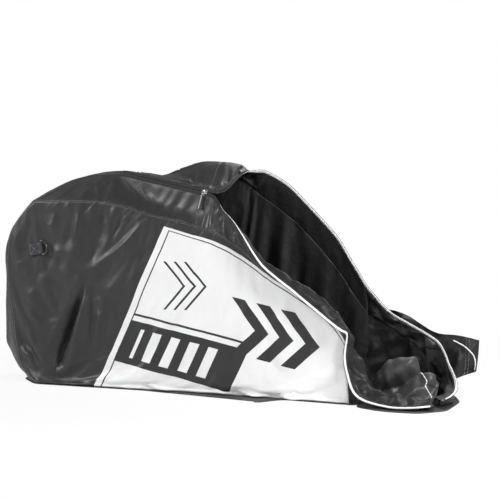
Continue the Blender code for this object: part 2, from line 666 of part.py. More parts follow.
def end_clip(name, stations, skin):
    """A clip bent round one tape and its coil, near the end of the zip."""
    edge, way, normal = stations[-1]
    before = stations[-2][0]
    ahead = (edge - before).normalized()
    middle = edge - ahead * (STOP_LENGTH * 0.5 + TOUCH)
    low = -TAPE_THICK / 2 - TOUCH - COIL_THICK - TOUCH
    high = TAPE_THICK / 2 + TOUCH
    reach = COIL_SETBACK + COIL_WIDTH + TOUCH
    wall = STOP_WALL
    outline = [
        (reach, high), (reach, high + wall), (-TOUCH - wall, high + wall), (-TOUCH - wall, low - wall),
        (reach, low - wall), (reach, low), (-TOUCH, low), (-TOUCH, high),
    ]
    across = (way - ahead * way.dot(ahead)).normalized()
    return prism(name, outline, [], STOP_LENGTH, skin, frame(middle, across, normal))


def rear_clip(name, station, ahead, skin):
    """A clip through the slot that holds both tapes at the closed end."""
    edge, way, normal = station
    half = ZIP_SLOT / 2 + COIL_SETBACK + COIL_WIDTH
    middle = edge - way * (ZIP_SLOT / 2) + ahead * (STOP_LENGTH / 2 + TOUCH)
    low = -TAPE_THICK / 2 - TOUCH - COIL_THICK - TOUCH
    high = TAPE_THICK / 2 + TOUCH
    wall = STOP_WALL
    web = POST_THICK / 2
    outline = [
        (-half, high), (-half, high + wall), (half, high + wall), (half, high), (web, high), (web, low),
        (half, low), (half, low - wall), (-half, low - wall), (-half, low), (-web, low), (-web, high),
    ]
    return prism(name, outline, [], STOP_LENGTH, skin, frame(middle, way, normal))


def slider_frame():
    """The slider's place: X forwards along the zip, Z out of the tapes."""
    way, _ = rolled(zip_way(), roll_at(1))
    return frame(at(SLIDER_AT), zip_way(), -way)


def plate_top():
    return TAPE_THICK / 2 + SLIDER_CLEAR + SLIDER_PLATE


def slider(name, skin):
    """Two plates joined by a post in the slot, walls beside the coils, and a bow on top."""
    place = slider_frame()
    half_length = SLIDER_LENGTH / 2
    wall_in = ZIP_SLOT / 2 + COIL_SETBACK + COIL_WIDTH + SLIDER_CLEAR
    half_width = wall_in + SLIDER_RIM
    nose = half_width * SLIDER_NOSE
    top = plate_top()
    bottom = -TAPE_THICK / 2 - TOUCH - COIL_THICK - SLIDER_CLEAR
    rear = -half_length + SLIDER_TAPER
    outline = [
        (-half_length, -nose), (rear, -half_width), (half_length - POST_REAR, -half_width),
        (half_length, -nose), (half_length, nose), (half_length - POST_REAR, half_width),
        (rear, half_width), (-half_length, nose),
    ]
    lift = Matrix.Translation((0, 0, top - SLIDER_PLATE / 2))
    pieces = [prism(name, outline, [], SLIDER_PLATE, skin, place @ lift)]
    post = box((POST_REAR, -POST_THICK / 2, bottom - SLIDER_PLATE / 2),
               (half_length - SLIDER_RIM, POST_THICK / 2, top - SLIDER_PLATE / 2))
    pieces.append(add(name + " post", post, skin, False, place))
    under = box((-half_length, -half_width, bottom - SLIDER_PLATE), (half_length, half_width, bottom))
    pieces.append(add(name + " under", under, skin, False, place))
    for side in (-1, 1):
        low = min(side * wall_in, side * half_width)
        high = max(side * wall_in, side * half_width)
        wall = box((-half_length, low, bottom - SLIDER_PLATE / 2),
                   (half_length, high, -TAPE_THICK / 2 - SLIDER_CLEAR))
        pieces.append(add(f"{name} wall {side}", wall, skin, False, place))
    half_span = BOW_SPAN / 2
    foot = top - SLIDER_PLATE / 2
    crown = top + BOW_HEIGHT
    bend = BOW_BAR
    corner = bend * (1 - math.sqrt(0.5))
    path = [
        (-half_span, foot), (-half_span, crown - bend), (-half_span + corner, crown - corner),
        (-half_span + bend, crown), (half_span - bend, crown), (half_span - corner, crown - corner),
        (half_span, crown - bend), (half_span, foot),
    ]
    rings = []
    for k, (y, z) in enumerate(path):
        after, ahead_of = path[max(k - 1, 0)], path[min(k + 1, len(path) - 1)]
        along = Vector((0, ahead_of[0] - after[0], ahead_of[1] - after[1])).normalized()
        rings.append(oval(Vector((0, y, z)), Vector((1, 0, 0)), along.cross(Vector((1, 0, 0))),
                          BOW_BAR / 2, BOW_BAR / 2, 8))
    pieces.append(add(name + " bow", rings_mesh(rings), skin, True, place))
    return join(name, pieces)


def pull_frames():
    """The places of the pull plate and its grip, each on its hinge, X down the piece."""
    place = slider_frame()
    ahead = zip_way()
    pivot = place @ Vector((0, 0, plate_top() + BOW_PIVOT))
    level, above = rolled(ahead, 0)
    down = level * math.cos(PULL_DROP) - above * math.sin(PULL_DROP)
    plate_place = frame(pivot, down, ahead)
    hang = level * math.cos(GRIP_DROP) - above * math.sin(GRIP_DROP)
    grip_pivot = pivot + down * (PULL_LENGTH - PULL_BAR)
    grip_place = frame(grip_pivot, hang, ahead)
    return plate_place, grip_place


def pull_plate(name, place, skin):
    """A plate whose end bars run under the slider's bow and through the grip's loop."""
    half = PULL_WIDTH / 2
    inner = half - PULL_LEG
    bar = PULL_BAR / 2
    end = PULL_LENGTH - bar
    outline = [(-bar, -half + PULL_LEG), (0, -half), (end - PULL_LEG, -half), (end, -half + PULL_LEG),
               (end, half - PULL_LEG), (end - PULL_LEG, half), (0, half), (-bar, half - PULL_LEG)]
    bow_hole = rectangle(bar, bar + BOW_WINDOW, -inner, inner)
    grip_hole = rectangle(end - PULL_BAR - GRIP_WINDOW, end - PULL_BAR, -inner, inner)
    return prism(name, outline, [bow_hole, grip_hole], PULL_THICK, skin, place)


def grip(name, place, skin):
    """A stitched band looped round the lower bar of the plate, its loop at the hinge."""
    profile = folded_band(GRIP_LENGTH, GRIP_NECK, PULL_BAR * 0.5 * math.sqrt(2) + GRIP_CLEAR, GRIP_LAYER)
    turned = frame(Vector(), Vector((-1, 0, 0)), Vector((0, 0, -1)))
    return prism(name, profile, [], GRIP_WIDTH, skin, place @ turned)


def seat_ring(cloth_object):
    """The place of the ring's bar: its band lies on the near panel without touching it."""
    data = cloth_object.data
    tree = BVHTree.FromPolygons([v.co for v in data.vertices], [p.vertices for p in data.polygons])
    start = Vector((RING_X * LENGTH, -WIDTH * 2, RING_Z * HEIGHT))
    centre, normal, _, _ = tree.ray_cast(start, Vector((0, 1, 0)))
    if normal.y > 0:
        normal = -normal
    along = Vector((math.cos(RING_TILT), 0, math.sin(RING_TILT)))
    along = (along - normal * along.dot(normal)).normalized()
    across = along.cross(normal)
    highest = -WIDTH
    reach = WEBBING_NECK + WEBBING_TAIL / 2
    for i in range(13):
        for j in range(7):
            spot = centre + along * (reach * (i / 6 - 1)) + across * (WEBBING_WIDTH * (j / 6 - 0.5))
            hit = tree.ray_cast(spot + normal * WIDTH, -normal)[0]
            highest = max(highest, (hit - centre).dot(normal))
    rise = highest + FABRIC / 2 + TOUCH + WEBBING_THICK + RING_WIRE / 2 + RING_CLEAR
    return frame(centre + along * reach + normal * rise, along, normal)


def webbing(name, place, skin):
    profile = folded_band(WEBBING_TAIL, WEBBING_NECK, RING_WIRE / 2 + RING_CLEAR, WEBBING_THICK)
    return prism(name, profile, [], WEBBING_WIDTH, skin, place)


def d_ring(name, place, skin):
    """A bent wire ring: a straight bar in the band's loop, and a bow away from it."""
    half = (RING_INNER + RING_WIRE) / 2
    corner = RING_CORNER
    path = [(0.0, -half + corner), (0.0, half - corner)]
    for k in range(1, 4):
        turn = math.pi / 2 * k / 4
        path.append((corner - corner * math.cos(turn), half - corner + corner * math.sin(turn)))
    for k in range(13):
        turn = math.pi * (0.5 - k / 12)
        path.append((corner + (RING_DEPTH - corner) * math.cos(turn), half * math.sin(turn)))
    for k in range(3, 0, -1):
        turn = math.pi / 2 * k / 4
        path.append((corner - corner * math.cos(turn), -half + corner - corner * math.sin(turn)))
    rings = []
    up = Vector((0, 1, 0))
    for k, (x, z) in enumerate(path):
        after = path[k - 1]
        ahead_of = path[(k + 1) % len(path)]
        along = Vector((ahead_of[0] - after[0], 0, ahead_of[1] - after[1])).normalized()
        rings.append(oval(Vector((x, 0, z)), along.cross(up), up, RING_WIRE / 2, RING_WIRE / 2, 8))
    return add(name, rings_mesh(rings, closed=True), skin, True, place)


def build():
    clear_scene()
    nylon = material("charcoal nylon", (0.048, 0.048, 0.052), 0.5)
    printed = material("printed nylon", (0.60, 0.60, 0.61), 0.45)
    tape_skin = material("black zip tape", (0.015, 0.015, 0.016), 0.8)
    coil_skin = material("white zip coil", (0.75, 0.75, 0.74), 0.35)
    webbing_skin = material("black webbing", (0.022, 0.022, 0.024), 0.75)
    grip_skin = material("grey grip band", (0.16, 0.16, 0.17), 0.6)
    steel = material("steel fittings", (0.55, 0.56, 0.58), 0.3, 1.0)
    clip_skin = material("black clips", (0.03, 0.03, 0.03), 0.4)

    near, near_rails = side_rails(
        -1, NEAR_MOUTH, NEAR_SEAM_CLOSED, NEAR_CREST_CLOSED, NEAR_EDGE_FRONT, NEAR_CREST_FRONT)
    far, far_rails = side_rails(
        1, FAR_MOUTH, FAR_SEAM_CLOSED, FAR_CREST_CLOSED, FAR_EDGE_FRONT, FAR_CREST_FRONT)

    plate("bottom_panel", FLOOR_OUTLINE, nylon)
    plate("front_floor_panel", FRONT_FLOOR_OUTLINE, nylon)
    gusset("rear_gusset", curve(NEAR_REAR), curve(GUSSET_MIDDLE), curve(FAR_REAR),
           SIDE_ROWS, GUSSET_COLUMNS, nylon)

    near_edges = [curve(NEAR_FOOT), top_seam(near_rails, NEAR_MOUTH), curve(NEAR_REAR), curve(NEAR_FRONT)]
    near_panel = panel("near_side_panel", -1, near_edges, NEAR_BULGE, NEAR_FOLDS,
                       PANEL_SPLIT * (CLOSED_STEPS + mouth_steps(NEAR_MOUTH)), printed)
    far_edges = [curve(FAR_FOOT), top_seam(far_rails, FAR_MOUTH), curve(FAR_REAR), curve(FAR_FRONT)]
    panel("far_side_panel", 1, far_edges, FAR_BULGE, FAR_FOLDS,
          PANEL_SPLIT * (CLOSED_STEPS + mouth_steps(FAR_MOUTH)), nylon)

    strip("near_top_strip", near_rails["closed"], CLOSED_STEPS, nylon, START_GAP, SEAM_GAP)
    strip("far_top_strip", far_rails["closed"], CLOSED_STEPS, nylon, START_GAP, SEAM_GAP)
    strip("near_mouth_strip", near_rails["open"], mouth_steps(NEAR_MOUTH), nylon, SEAM_GAP, SEAM_GAP)
    strip("far_mouth_strip", far_rails["open"], mouth_steps(FAR_MOUTH), nylon, SEAM_GAP, SEAM_GAP)
    near_base = curve([NEAR_MOUTH[-1][2], *NEAR_BASE_FRONT])
    strip("near_front_strip", [*near_rails["front"], near_base], FRONT_STEPS, nylon, SEAM_GAP, SEAM_GAP, 0)
    strip("far_front_strip", [*far_rails["front"], curve(FAR_SEAM_FRONT)], FRONT_STEPS, nylon,
          SEAM_GAP, SEAM_GAP, 0)
    fold = [curve(outline) for outline in (FOLD_NEAR_FOOT, FOLD_RIDGE, FOLD_FAR_FOOT)]
    strip("front_inner_fold", fold, FOLD_STEPS, nylon, last_gap=0)
    flap = [curve(outline) for outline in (FLAP_FOOT, FLAP_MIDDLE, FLAP_TOP)]
    strip("far_front_panel", flap, FLAP_STEPS, nylon, last_gap=0)

    tape("near_zip_tape", near, tape_skin)
    tape("far_zip_tape", far, tape_skin)
    coil("near_zip_coil", near, coil_skin)
    coil("far_zip_coil", far, coil_skin)
    rear_clip("rear_zip_stop", near[0], (near[1][0] - near[0][0]).normalized(), clip_skin)
    end_clip("near_zip_stop", near, clip_skin)
    end_clip("far_zip_stop", far, clip_skin)

    slider("zip_slider", steel)
    plate_place, grip_place = pull_frames()
    pull_plate("zip_pull", plate_place, steel)
    grip("zip_pull_grip", grip_place, grip_skin)

    ring_place = seat_ring(near_panel)
    webbing("ring_webbing", ring_place, webbing_skin)
    d_ring("d_ring", ring_place, steel)


build()
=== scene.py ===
"""Looks of a bike travel bag that stands half unzipped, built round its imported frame."""

import math
from functools import reduce

import bmesh
import bpy
import numpy as np
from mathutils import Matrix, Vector, noise


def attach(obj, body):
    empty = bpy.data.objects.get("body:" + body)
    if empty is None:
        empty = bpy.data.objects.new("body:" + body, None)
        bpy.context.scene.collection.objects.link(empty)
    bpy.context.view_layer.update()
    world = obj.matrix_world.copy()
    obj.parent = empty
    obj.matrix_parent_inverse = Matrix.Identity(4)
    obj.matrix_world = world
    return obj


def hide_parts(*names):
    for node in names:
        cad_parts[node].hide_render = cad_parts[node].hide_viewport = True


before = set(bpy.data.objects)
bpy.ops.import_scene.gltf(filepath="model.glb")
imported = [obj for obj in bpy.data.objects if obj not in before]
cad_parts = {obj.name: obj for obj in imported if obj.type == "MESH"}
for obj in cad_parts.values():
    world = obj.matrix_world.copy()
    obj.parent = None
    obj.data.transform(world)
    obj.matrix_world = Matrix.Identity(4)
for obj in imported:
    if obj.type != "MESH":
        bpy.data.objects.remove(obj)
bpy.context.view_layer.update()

LENGTH, WIDTH, HEIGHT = 1.55, 0.24, 0.69
LOW = 0.0027            # top of the floor panel, plus the cloth
CLOTH = 0.0008
FLOOR_THICK, RIPPLE_HEIGHT = 0.0016, 0.0010
TAPE_WIDTH, TAPE_THICK, TOUCH = 0.0090, 0.0008, 0.0004
COIL_WIDTH, COIL_THICK, COIL_SETBACK, ZIP_SLOT = 0.0046, 0.0024, 0.0012, 0.0016
SLIDER_LENGTH, FORK_AHEAD = 0.022, 0.003
CLOSED_STEPS, STRAIGHT_STEPS, FRONT_STEPS = 16, 4, 14

# Outlines, in shares of LENGTH, WIDTH and HEIGHT
NEAR_FOOT = [(-0.387, -0.550, 0), (-0.323, -0.533, 0), (-0.161, -0.492, 0), (-0.032, -0.467, 0),
             (0.129, -0.467, 0), (0.284, -0.492, 0)]
NEAR_REAR = [(-0.387, -0.550, 0), (-0.431, -0.467, 0.065), (-0.448, -0.425, 0.174),
             (-0.455, -0.417, 0.290), (-0.466, -0.417, 0.449), (-0.467, -0.417, 0.580),
             (-0.459, -0.417, 0.696), (-0.432, -0.417, 0.790), (-0.397, -0.425, 0.852)]
NEAR_FRONT = [(0.284, -0.492, 0), (0.281, -0.500, 0.130), (0.279, -0.450, 0.246)]
NEAR_SEAM = [(-0.397, -0.425, 0.852), (-0.323, -0.438, 0.857), (-0.258, -0.442, 0.855),
             (-0.194, -0.446, 0.836), (-0.129, -0.450, 0.799), (-0.071, -0.450, 0.774),
             (-0.018, -0.448, 0.742)]
NEAR_CREST = [(-0.420, -0.229, 0.857), (-0.385, -0.235, 0.894), (-0.323, -0.240, 0.925),
              (-0.258, -0.225, 0.932), (-0.194, -0.190, 0.888), (-0.158, -0.188, 0.862),
              (-0.129, -0.207, 0.848), (-0.071, -0.285, 0.828), (-0.018, -0.345, 0.820)]
ZIP_LINE = [(-0.426, 0, 0.858), (-0.387, 0, 0.910), (-0.342, 0, 0.955), (-0.284, 0, 0.984),
            (-0.226, -0.025, 0.987), (-0.158, -0.108, 0.962)]
ZIP_ROLLS = [0, 0, 5, 20, 42, 55]
SLIDER_AT = (-0.023, -0.292, 0.903)
NEAR_MOUTH = [
    ((-0.004, -0.322, 0.892), (-0.006, -0.357, 0.820), (-0.005, -0.446, 0.734)),
    ((0.004, -0.341, 0.878), (0.003, -0.369, 0.813), (0.006, -0.444, 0.725)),
    ((0.0125, -0.368, 0.855), (0.013, -0.377, 0.801), (0.018, -0.442, 0.714)),
    ((0.022, -0.405, 0.825), (0.024, -0.384, 0.789), (0.031, -0.440, 0.698)),
    ((0.034, -0.445, 0.803), (0.035, -0.397, 0.782), (0.043, -0.438, 0.682)),
    ((0.046, -0.487, 0.780), (0.046, -0.420, 0.772), (0.056, -0.436, 0.660)),
    ((0.058, -0.525, 0.750), (0.058, -0.450, 0.752), (0.070, -0.434, 0.636)),
    ((0.074, -0.560, 0.702), (0.076, -0.482, 0.712), (0.090, -0.433, 0.598)),
    ((0.111, -0.575, 0.583), (0.112, -0.498, 0.618), (0.122, -0.435, 0.538)),
    ((0.168, -0.575, 0.484), (0.168, -0.500, 0.536), (0.168, -0.438, 0.478)),
    ((0.219, -0.575, 0.396), (0.222, -0.500, 0.473), (0.222, -0.440, 0.402)),
    ((0.258, -0.575, 0.330), (0.262, -0.504, 0.396), (0.258, -0.442, 0.326)),
    ((0.281, -0.575, 0.299), (0.284, -0.513, 0.322), (0.279, -0.450, 0.246)),
]
FAR_MOUTH = [
    ((-0.003, -0.300, 0.898), (-0.010, 0.225, 1.042), (-0.009, 0.457, 0.977)),
    ((0.006, -0.280, 0.900), (-0.003, 0.250, 1.041), (-0.001, 0.468, 0.968)),
    ((0.014, -0.242, 0.905), (0.004, 0.280, 1.039), (0.006, 0.477, 0.961)),
    ((0.020, -0.190, 0.913), (0.010, 0.310, 1.037), (0.012, 0.485, 0.954)),
    ((0.023, -0.042, 0.939), (0.016, 0.345, 1.034), (0.019, 0.492, 0.945)),
    ((0.026, 0.092, 0.961), (0.018, 0.375, 1.030), (0.025, 0.498, 0.935)),
    ((0.028, 0.200, 0.978), (0.021, 0.420, 1.024), (0.030, 0.504, 0.925)),
    ((0.032, 0.300, 0.994), (0.026, 0.462, 1.006), (0.036, 0.509, 0.912)),
    ((0.039, 0.345, 0.998), (0.034, 0.480, 0.980), (0.044, 0.513, 0.898)),
    ((0.047, 0.385, 1.001), (0.047, 0.486, 0.952), (0.055, 0.517, 0.880)),
    ((0.068, 0.430, 0.998), (0.074, 0.487, 0.920), (0.078, 0.519, 0.845)),
    ((0.107, 0.438, 0.952), (0.107, 0.488, 0.878), (0.107, 0.521, 0.797)),
    ((0.133, 0.442, 0.904), (0.133, 0.492, 0.830), (0.135, 0.521, 0.745)),
    ((0.176, 0.446, 0.806), (0.176, 0.496, 0.732), (0.176, 0.521, 0.652)),
    ((0.220, 0.446, 0.700), (0.220, 0.496, 0.623), (0.220, 0.521, 0.536)),
    ((0.247, 0.450, 0.604), (0.247, 0.500, 0.529), (0.247, 0.525, 0.449)),
    ((0.281, 0.465, 0.480), (0.281, 0.515, 0.405), (0.281, 0.546, 0.340)),
]
FAR_CREST = [(-0.420, 0.229, 0.857), (-0.385, 0.240, 0.900), (-0.323, 0.250, 0.957),
             (-0.258, 0.229, 0.991), (-0.181, 0.167, 0.997), (-0.123, 0.125, 0.987),
             (-0.100, 0.125, 1.012), (-0.058, 0.150, 1.039), (-0.018, 0.205, 1.041)]
FAR_SEAM = [(-0.397, 0.425, 0.852), (-0.323, 0.442, 0.867), (-0.258, 0.446, 0.878), (-0.181, 0.433, 0.910),
            (-0.123, 0.417, 0.942), (-0.065, 0.417, 0.986), (-0.018, 0.445, 0.985)]
FAR_REAR = [(x, -y, z) for x, y, z in NEAR_REAR]
FAR_FOOT = [(-0.387, 0.550, 0), (-0.323, 0.542, 0), (-0.161, 0.521, 0), (0.065, 0.521, 0),
            (0.281, 0.546, 0)]
FAR_FRONT = [(0.281, 0.546, 0), (0.281, 0.563, 0.174), (0.281, 0.546, 0.340)]
GUSSET_MIDDLE = [(-0.440, 0, 0), (-0.468, 0, 0.072), (-0.489, 0, 0.145), (-0.497, 0, 0.290),
                 (-0.4995, 0, 0.449), (-0.498, 0, 0.580), (-0.487, 0, 0.696), (-0.460, 0, 0.790),
                 (-0.426, 0, 0.858)]
NEAR_EDGE_FRONT = [(0.276, -0.587, 0.203), (0.283, -0.596, 0.123), (0.295, -0.617, 0.058),
                   (0.316, -0.633, 0.024), (0.368, -0.696, 0.006), (0.413, -0.671, 0.008),
                   (0.448, -0.563, 0.014)]
NEAR_CREST_FRONT = [(0.298, -0.483, 0.196), (0.308, -0.475, 0.123), (0.323, -0.467, 0.075),
                    (0.342, -0.467, 0.062), (0.381, -0.492, 0.058), (0.419, -0.467, 0.052),
                    (0.445, -0.417, 0.046)]
NEAR_BASE_FRONT = [(0.310, -0.408, 0.180), (0.318, -0.392, 0.110), (0.329, -0.367, 0.050),
                   (0.342, -0.342, 0.010), (0.356, -0.333, 0.002), (0.387, -0.342, 0), (0.419, -0.333, 0),
                   (0.442, -0.317, 0)]
FOLD_NEAR_FOOT = [(0.305, -0.260, 0), (0.365, -0.310, 0), (0.413, -0.310, 0), (0.442, -0.270, 0)]
FOLD_RIDGE = [(0.308, -0.120, 0.070), (0.349, -0.110, 0.214), (0.385, -0.070, 0.196),
              (0.415, -0.040, 0.150), (0.443, -0.010, 0.080)]
FOLD_FAR_FOOT = [(0.312, 0.240, 0), (0.365, 0.290, 0), (0.413, 0.280, 0), (0.438, 0.210, 0)]
FLAP_FOOT = [(0.2815, 0.546, 0), (0.329, 0.558, 0.001), (0.384, 0.558, 0.006), (0.429, 0.600, 0.030),
             (0.466, 0.700, 0.070), (0.495, 0.758, 0.094)]
FLAP_MIDDLE = [(0.2815, 0.563, 0.174), (0.329, 0.608, 0.181), (0.384, 0.650, 0.159), (0.429, 0.700, 0.152),
               (0.466, 0.758, 0.162), (0.498, 0.788, 0.165)]
FLAP_TOP = [(0.2815, 0.546, 0.338), (0.326, 0.582, 0.360), (0.361, 0.605, 0.340), (0.413, 0.668, 0.268),
            (0.460, 0.742, 0.254), (0.4995, 0.790, 0.234)]
FAR_EDGE_FRONT = [(0.326, 0.471, 0.371), (0.381, 0.483, 0.301), (0.429, 0.480, 0.235),
                  (0.452, 0.370, 0.151), (0.474, 0.130, 0.084), (0.477, -0.104, 0.046),
                  (0.461, -0.354, 0.029)]
FAR_CREST_FRONT = [(0.323, 0.520, 0.315), (0.374, 0.530, 0.245), (0.412, 0.520, 0.178),
                   (0.430, 0.420, 0.125), (0.450, 0.190, 0.080), (0.453, -0.050, 0.048),
                   (0.441, -0.250, 0.030)]
FAR_SEAM_FRONT = [(0.281, 0.534, 0.350), (0.294, 0.524, 0.326), (0.326, 0.524, 0.292),
                  (0.374, 0.540, 0.222), (0.410, 0.545, 0.140), (0.424, 0.420, 0.085),
                  (0.443, 0.200, 0.045), (0.446, -0.020, 0.024), (0.436, -0.200, 0.014)]
FLOOR = [(-0.446, 0.250), (-0.446, -0.250), (-0.392, -0.572), (-0.161, -0.520), (0.084, -0.495),
         (0.110, -0.792), (0.152, -0.495), (0.3010, -0.530), (0.3010, 0.604), (-0.392, 0.604)]
FRONT_FLOOR = [(0.3016, 0.604), (0.3016, -0.625), (0.335, -0.729), (0.368, -0.783), (0.426, -0.758),
               (0.471, -0.500), (0.481, 0.083), (0.461, 0.458), (0.400, 0.604)]


# Curves
def at(rows):
    return np.array(rows, float) * (LENGTH, WIDTH, HEIGHT - LOW) + (0, 0, LOW)


def smooth(p, steps=10):
    """Close points on a smooth curve through the given ones."""
    p = np.asarray(p, float)
    p = np.vstack([2 * p[0] - p[1], p, 2 * p[-1] - p[-2]])
    t = (np.arange(steps) / steps)[:, None]
    out = []
    for a, b, c, d in zip(p, p[1:], p[2:], p[3:]):
        cubic = (3 * b - 3 * c + d - a) * t ** 3
        out.append(0.5 * (2 * b + (c - a) * t + (2 * a - 5 * b + 4 * c - d) * t * t + cubic))
    return np.vstack([*out, p[-2:-1]])


def run_of(points):
    """The length of a line of points up to each one."""
    return np.r_[0, np.cumsum(np.linalg.norm(np.diff(points, axis=0), axis=1))]


def read_at(where, run, points):
    return np.stack([np.interp(where, run, points[:, k]) for k in range(3)], -1)


def spread(points, run):
    return lambda share: read_at(np.clip(share, 0, 1) * run[-1], run, points)


def by_length(points):
    return spread(points, run_of(points))


def by_step(points):
    return spread(points, np.arange(len(points), dtype=float))


def curve(rows):
    return by_length(smooth(at(rows)))


def unit(v):
    return v / np.maximum(np.linalg.norm(v, axis=-1, keepdims=True), 1e-12)


def length_of(points):
    return float(np.linalg.norm(np.diff(points, axis=0), axis=1).sum())


def from_ends(count):
    """For each of so many places, the steps to the nearer end."""
    return np.minimum(np.arange(count), np.arange(count)[::-1])


# The zip's course
def rolled(ahead, roll):
    ahead = unit(ahead)
    level = unit(np.cross(ahead, (0, 0, 1)))
    above = np.cross(level, ahead)
    return level * math.cos(roll) - above * math.sin(roll), above * math.cos(roll) + level * math.sin(roll)


bend = at(ZIP_LINE)
slider_spot = at([SLIDER_AT])[0]
zip_way = unit(slider_spot - bend[-1])
fork_spot = slider_spot + zip_way * (SLIDER_LENGTH / 2 + FORK_AHEAD)


def closed_stations(side):
    fine = smooth(np.vstack([bend, (bend[-1] + fork_spot) / 2]))
    bent = by_length(fine[:(len(bend) - 1) * 10 + 1])
    curved = CLOSED_STEPS - STRAIGHT_STEPS
    shares = np.arange(curved) / curved
    rolls = list(np.radians(np.interp(shares * (len(ZIP_ROLLS) - 1), range(len(ZIP_ROLLS)), ZIP_ROLLS)))
    points = list(bent(shares))
    for k in range(STRAIGHT_STEPS + 1):
        points.append(bend[-1] + (fork_spot - bend[-1]) * k / STRAIGHT_STEPS)
        rolls.append(math.radians(ZIP_ROLLS[-1]))
    found = []
    for k, point in enumerate(points):
        ahead = zip_way if k >= curved else points[min(k + 1, len(points) - 1)] - points[max(k - 1, 0)]
        way, normal = rolled(ahead, rolls[k])
        way = way * -side
        found.append((point + way * (ZIP_SLOT / 2), way, normal))
    return found


def led(side, edges, crests, before):
    line = [before[-1][0], *edges]
    found = list(before)
    for k, edge in enumerate(edges):
        ahead = unit(line[min(k + 2, len(line) - 1)] - line[k])
        way = crests[k] - edge
        way = unit(way - ahead * way.dot(ahead))
        found.append((edge, way, np.cross(way, ahead) * -side))
    return found


class Side:
    """One side's zip stations, and the rails of its upper cloth."""

    def __init__(self, side, mouth, seam, crest, edge_front, crest_front, base_front):
        mouth = [at(section) for section in mouth]
        closed = closed_stations(side)
        edges = by_step(smooth([closed[-1][0], *[m[0] for m in mouth]]))
        crests = by_step(smooth([at(crest)[-1], *[m[1] for m in mouth]]))
        seams = by_step(smooth([at(seam)[-1], *[m[2] for m in mouth]]))
        count = 2 * len(mouth)
        steps = np.arange(1, count + 1) / count
        found = led(side, list(edges(steps)), list(crests(steps)), closed)
        front_edge = by_length(smooth([mouth[-1][0], *at(edge_front)]))
        front_crest = by_length(smooth([mouth[-1][1], *at(crest_front)]))
        steps = np.arange(1, FRONT_STEPS + 1) / FRONT_STEPS
        found = led(side, list(front_edge(steps)), list(front_crest(steps)), found)
        self.side, self.count = side, count
        self.edge = smooth([s[0] for s in found], 6)
        self.way = unit(smooth([s[1] for s in found], 6))
        self.normal = unit(smooth([s[2] for s in found], 6))
        self.total = len(found) - 1
        hem = self.edge + self.way * (TAPE_WIDTH + TOUCH)
        fork, end = CLOSED_STEPS, CLOSED_STEPS + count
        self.parts = [
            (by_step(hem[:fork * 6 + 1]), curve(crest), curve(seam)),
            (by_step(hem[fork * 6:end * 6 + 1]), crests, seams),
            (by_step(hem[end * 6:]), front_crest, base_front(mouth[-1])),
        ]
        self.fork = fork / (fork + count)

    def seam(self, share):
        share = np.asarray(share, float)
        first = self.parts[0][2](share / self.fork)
        second = self.parts[1][2]((share - self.fork) / (1 - self.fork))
        return np.where((share <= self.fork)[..., None], first, second)

    def upper(self, part, shares, rows):
        """A grid of cloth from the seam (row 0) up over the crest to the hem."""
        hem, crest, seam = (rail(shares) for rail in self.parts[part])
        out = []
        for a, b, c in zip(seam, crest, hem):
            out.append(by_length(smooth([a, b, c], 12))(rows))
        return np.array(out)


def joined_front(rows):
    return lambda section: by_length(smooth([section[2], *at(rows)]))


near = Side(-1, NEAR_MOUTH, NEAR_SEAM, NEAR_CREST, NEAR_EDGE_FRONT, NEAR_CREST_FRONT,
            joined_front(NEAR_BASE_FRONT))
far = Side(1, FAR_MOUTH, FAR_SEAM, FAR_CREST, FAR_EDGE_FRONT, FAR_CREST_FRONT,
           lambda section: curve(FAR_SEAM_FRONT))


def wall(side, foot, rear, front, bulge, shares, rows):
    """A side panel's grid, from its foot (row 0) to its top seam."""
    foot, rear, front = curve(foot), curve(rear), curve(front)
    u, v = shares[:, None, None], rows[None, :, None]
    low, top = foot(shares)[:, None], side.seam(shares)[:, None]
    left, right = rear(rows)[None], front(rows)[None]
    grid = low * (1 - v) + top * v + left * (1 - u) + right * u
    below, above = (rail[0, 0] * (1 - u) + rail[-1, 0] * u for rail in (low, top))
    grid = grid - (below * (1 - v) + above * v)
    grid[..., 1] += bulge * np.sin(np.pi * u[..., 0]) ** 0.7 * np.sin(np.pi * v[..., 0])
    return grid


# Cloth: folds, settling and sheets
def normals(grid):
    du, dv = np.gradient(grid, axis=0), np.gradient(grid, axis=1)
    return unit(np.cross(du, dv))


def noise_at(points, scale, seed, stretch=(1, 1, 1)):
    """Smooth noise from -1 to 1 at each point, the same every time."""
    flat = (points * np.array(stretch) / scale).reshape(-1, 3) + seed * 7.31
    return np.array([noise.noise(Vector(p)) for p in flat]).reshape(points.shape[:-1])


def wavy(line, size, seeds):
    """Smooth noise at each number of a line."""
    return np.array([noise.noise(Vector((value / size, *seeds))) for value in line])


def crease(plane, line, width, height, lean=0.0):
    """The rise of a fold along a line in the plane. Lean makes one flank steeper, and its ends fade."""
    line = np.array(line, float)
    best = np.full(plane.shape[:-1], 1e9)
    signed, along = np.zeros_like(best), np.zeros_like(best)
    run = run_of(line)
    for a, b, r in zip(line, line[1:], run):
        d = b - a
        size = np.linalg.norm(d)
        t = np.clip(((plane - a) @ d) / size ** 2, 0, 1)
        off = plane - a - t[..., None] * d
        gap = np.linalg.norm(off, axis=-1)
        hit = gap < best
        best = np.where(hit, gap, best)
        signed = np.where(hit, (d[0] * off[..., 1] - d[1] * off[..., 0]) / size, signed)
        along = np.where(hit, (r + t * size) / run[-1], along)
    flank = np.where(signed > 0, width * (1 + lean), width * (1 - lean))
    fade = np.sin(np.pi * np.clip(along, 0.02, 0.98)) ** 0.6
    return height * fade * np.exp(-(best / flank) ** 2)


def creased(plane, creases):
    """The rise of several folds: each a line, half width, height and lean."""
    return sum(crease(plane, *values) for values in creases)


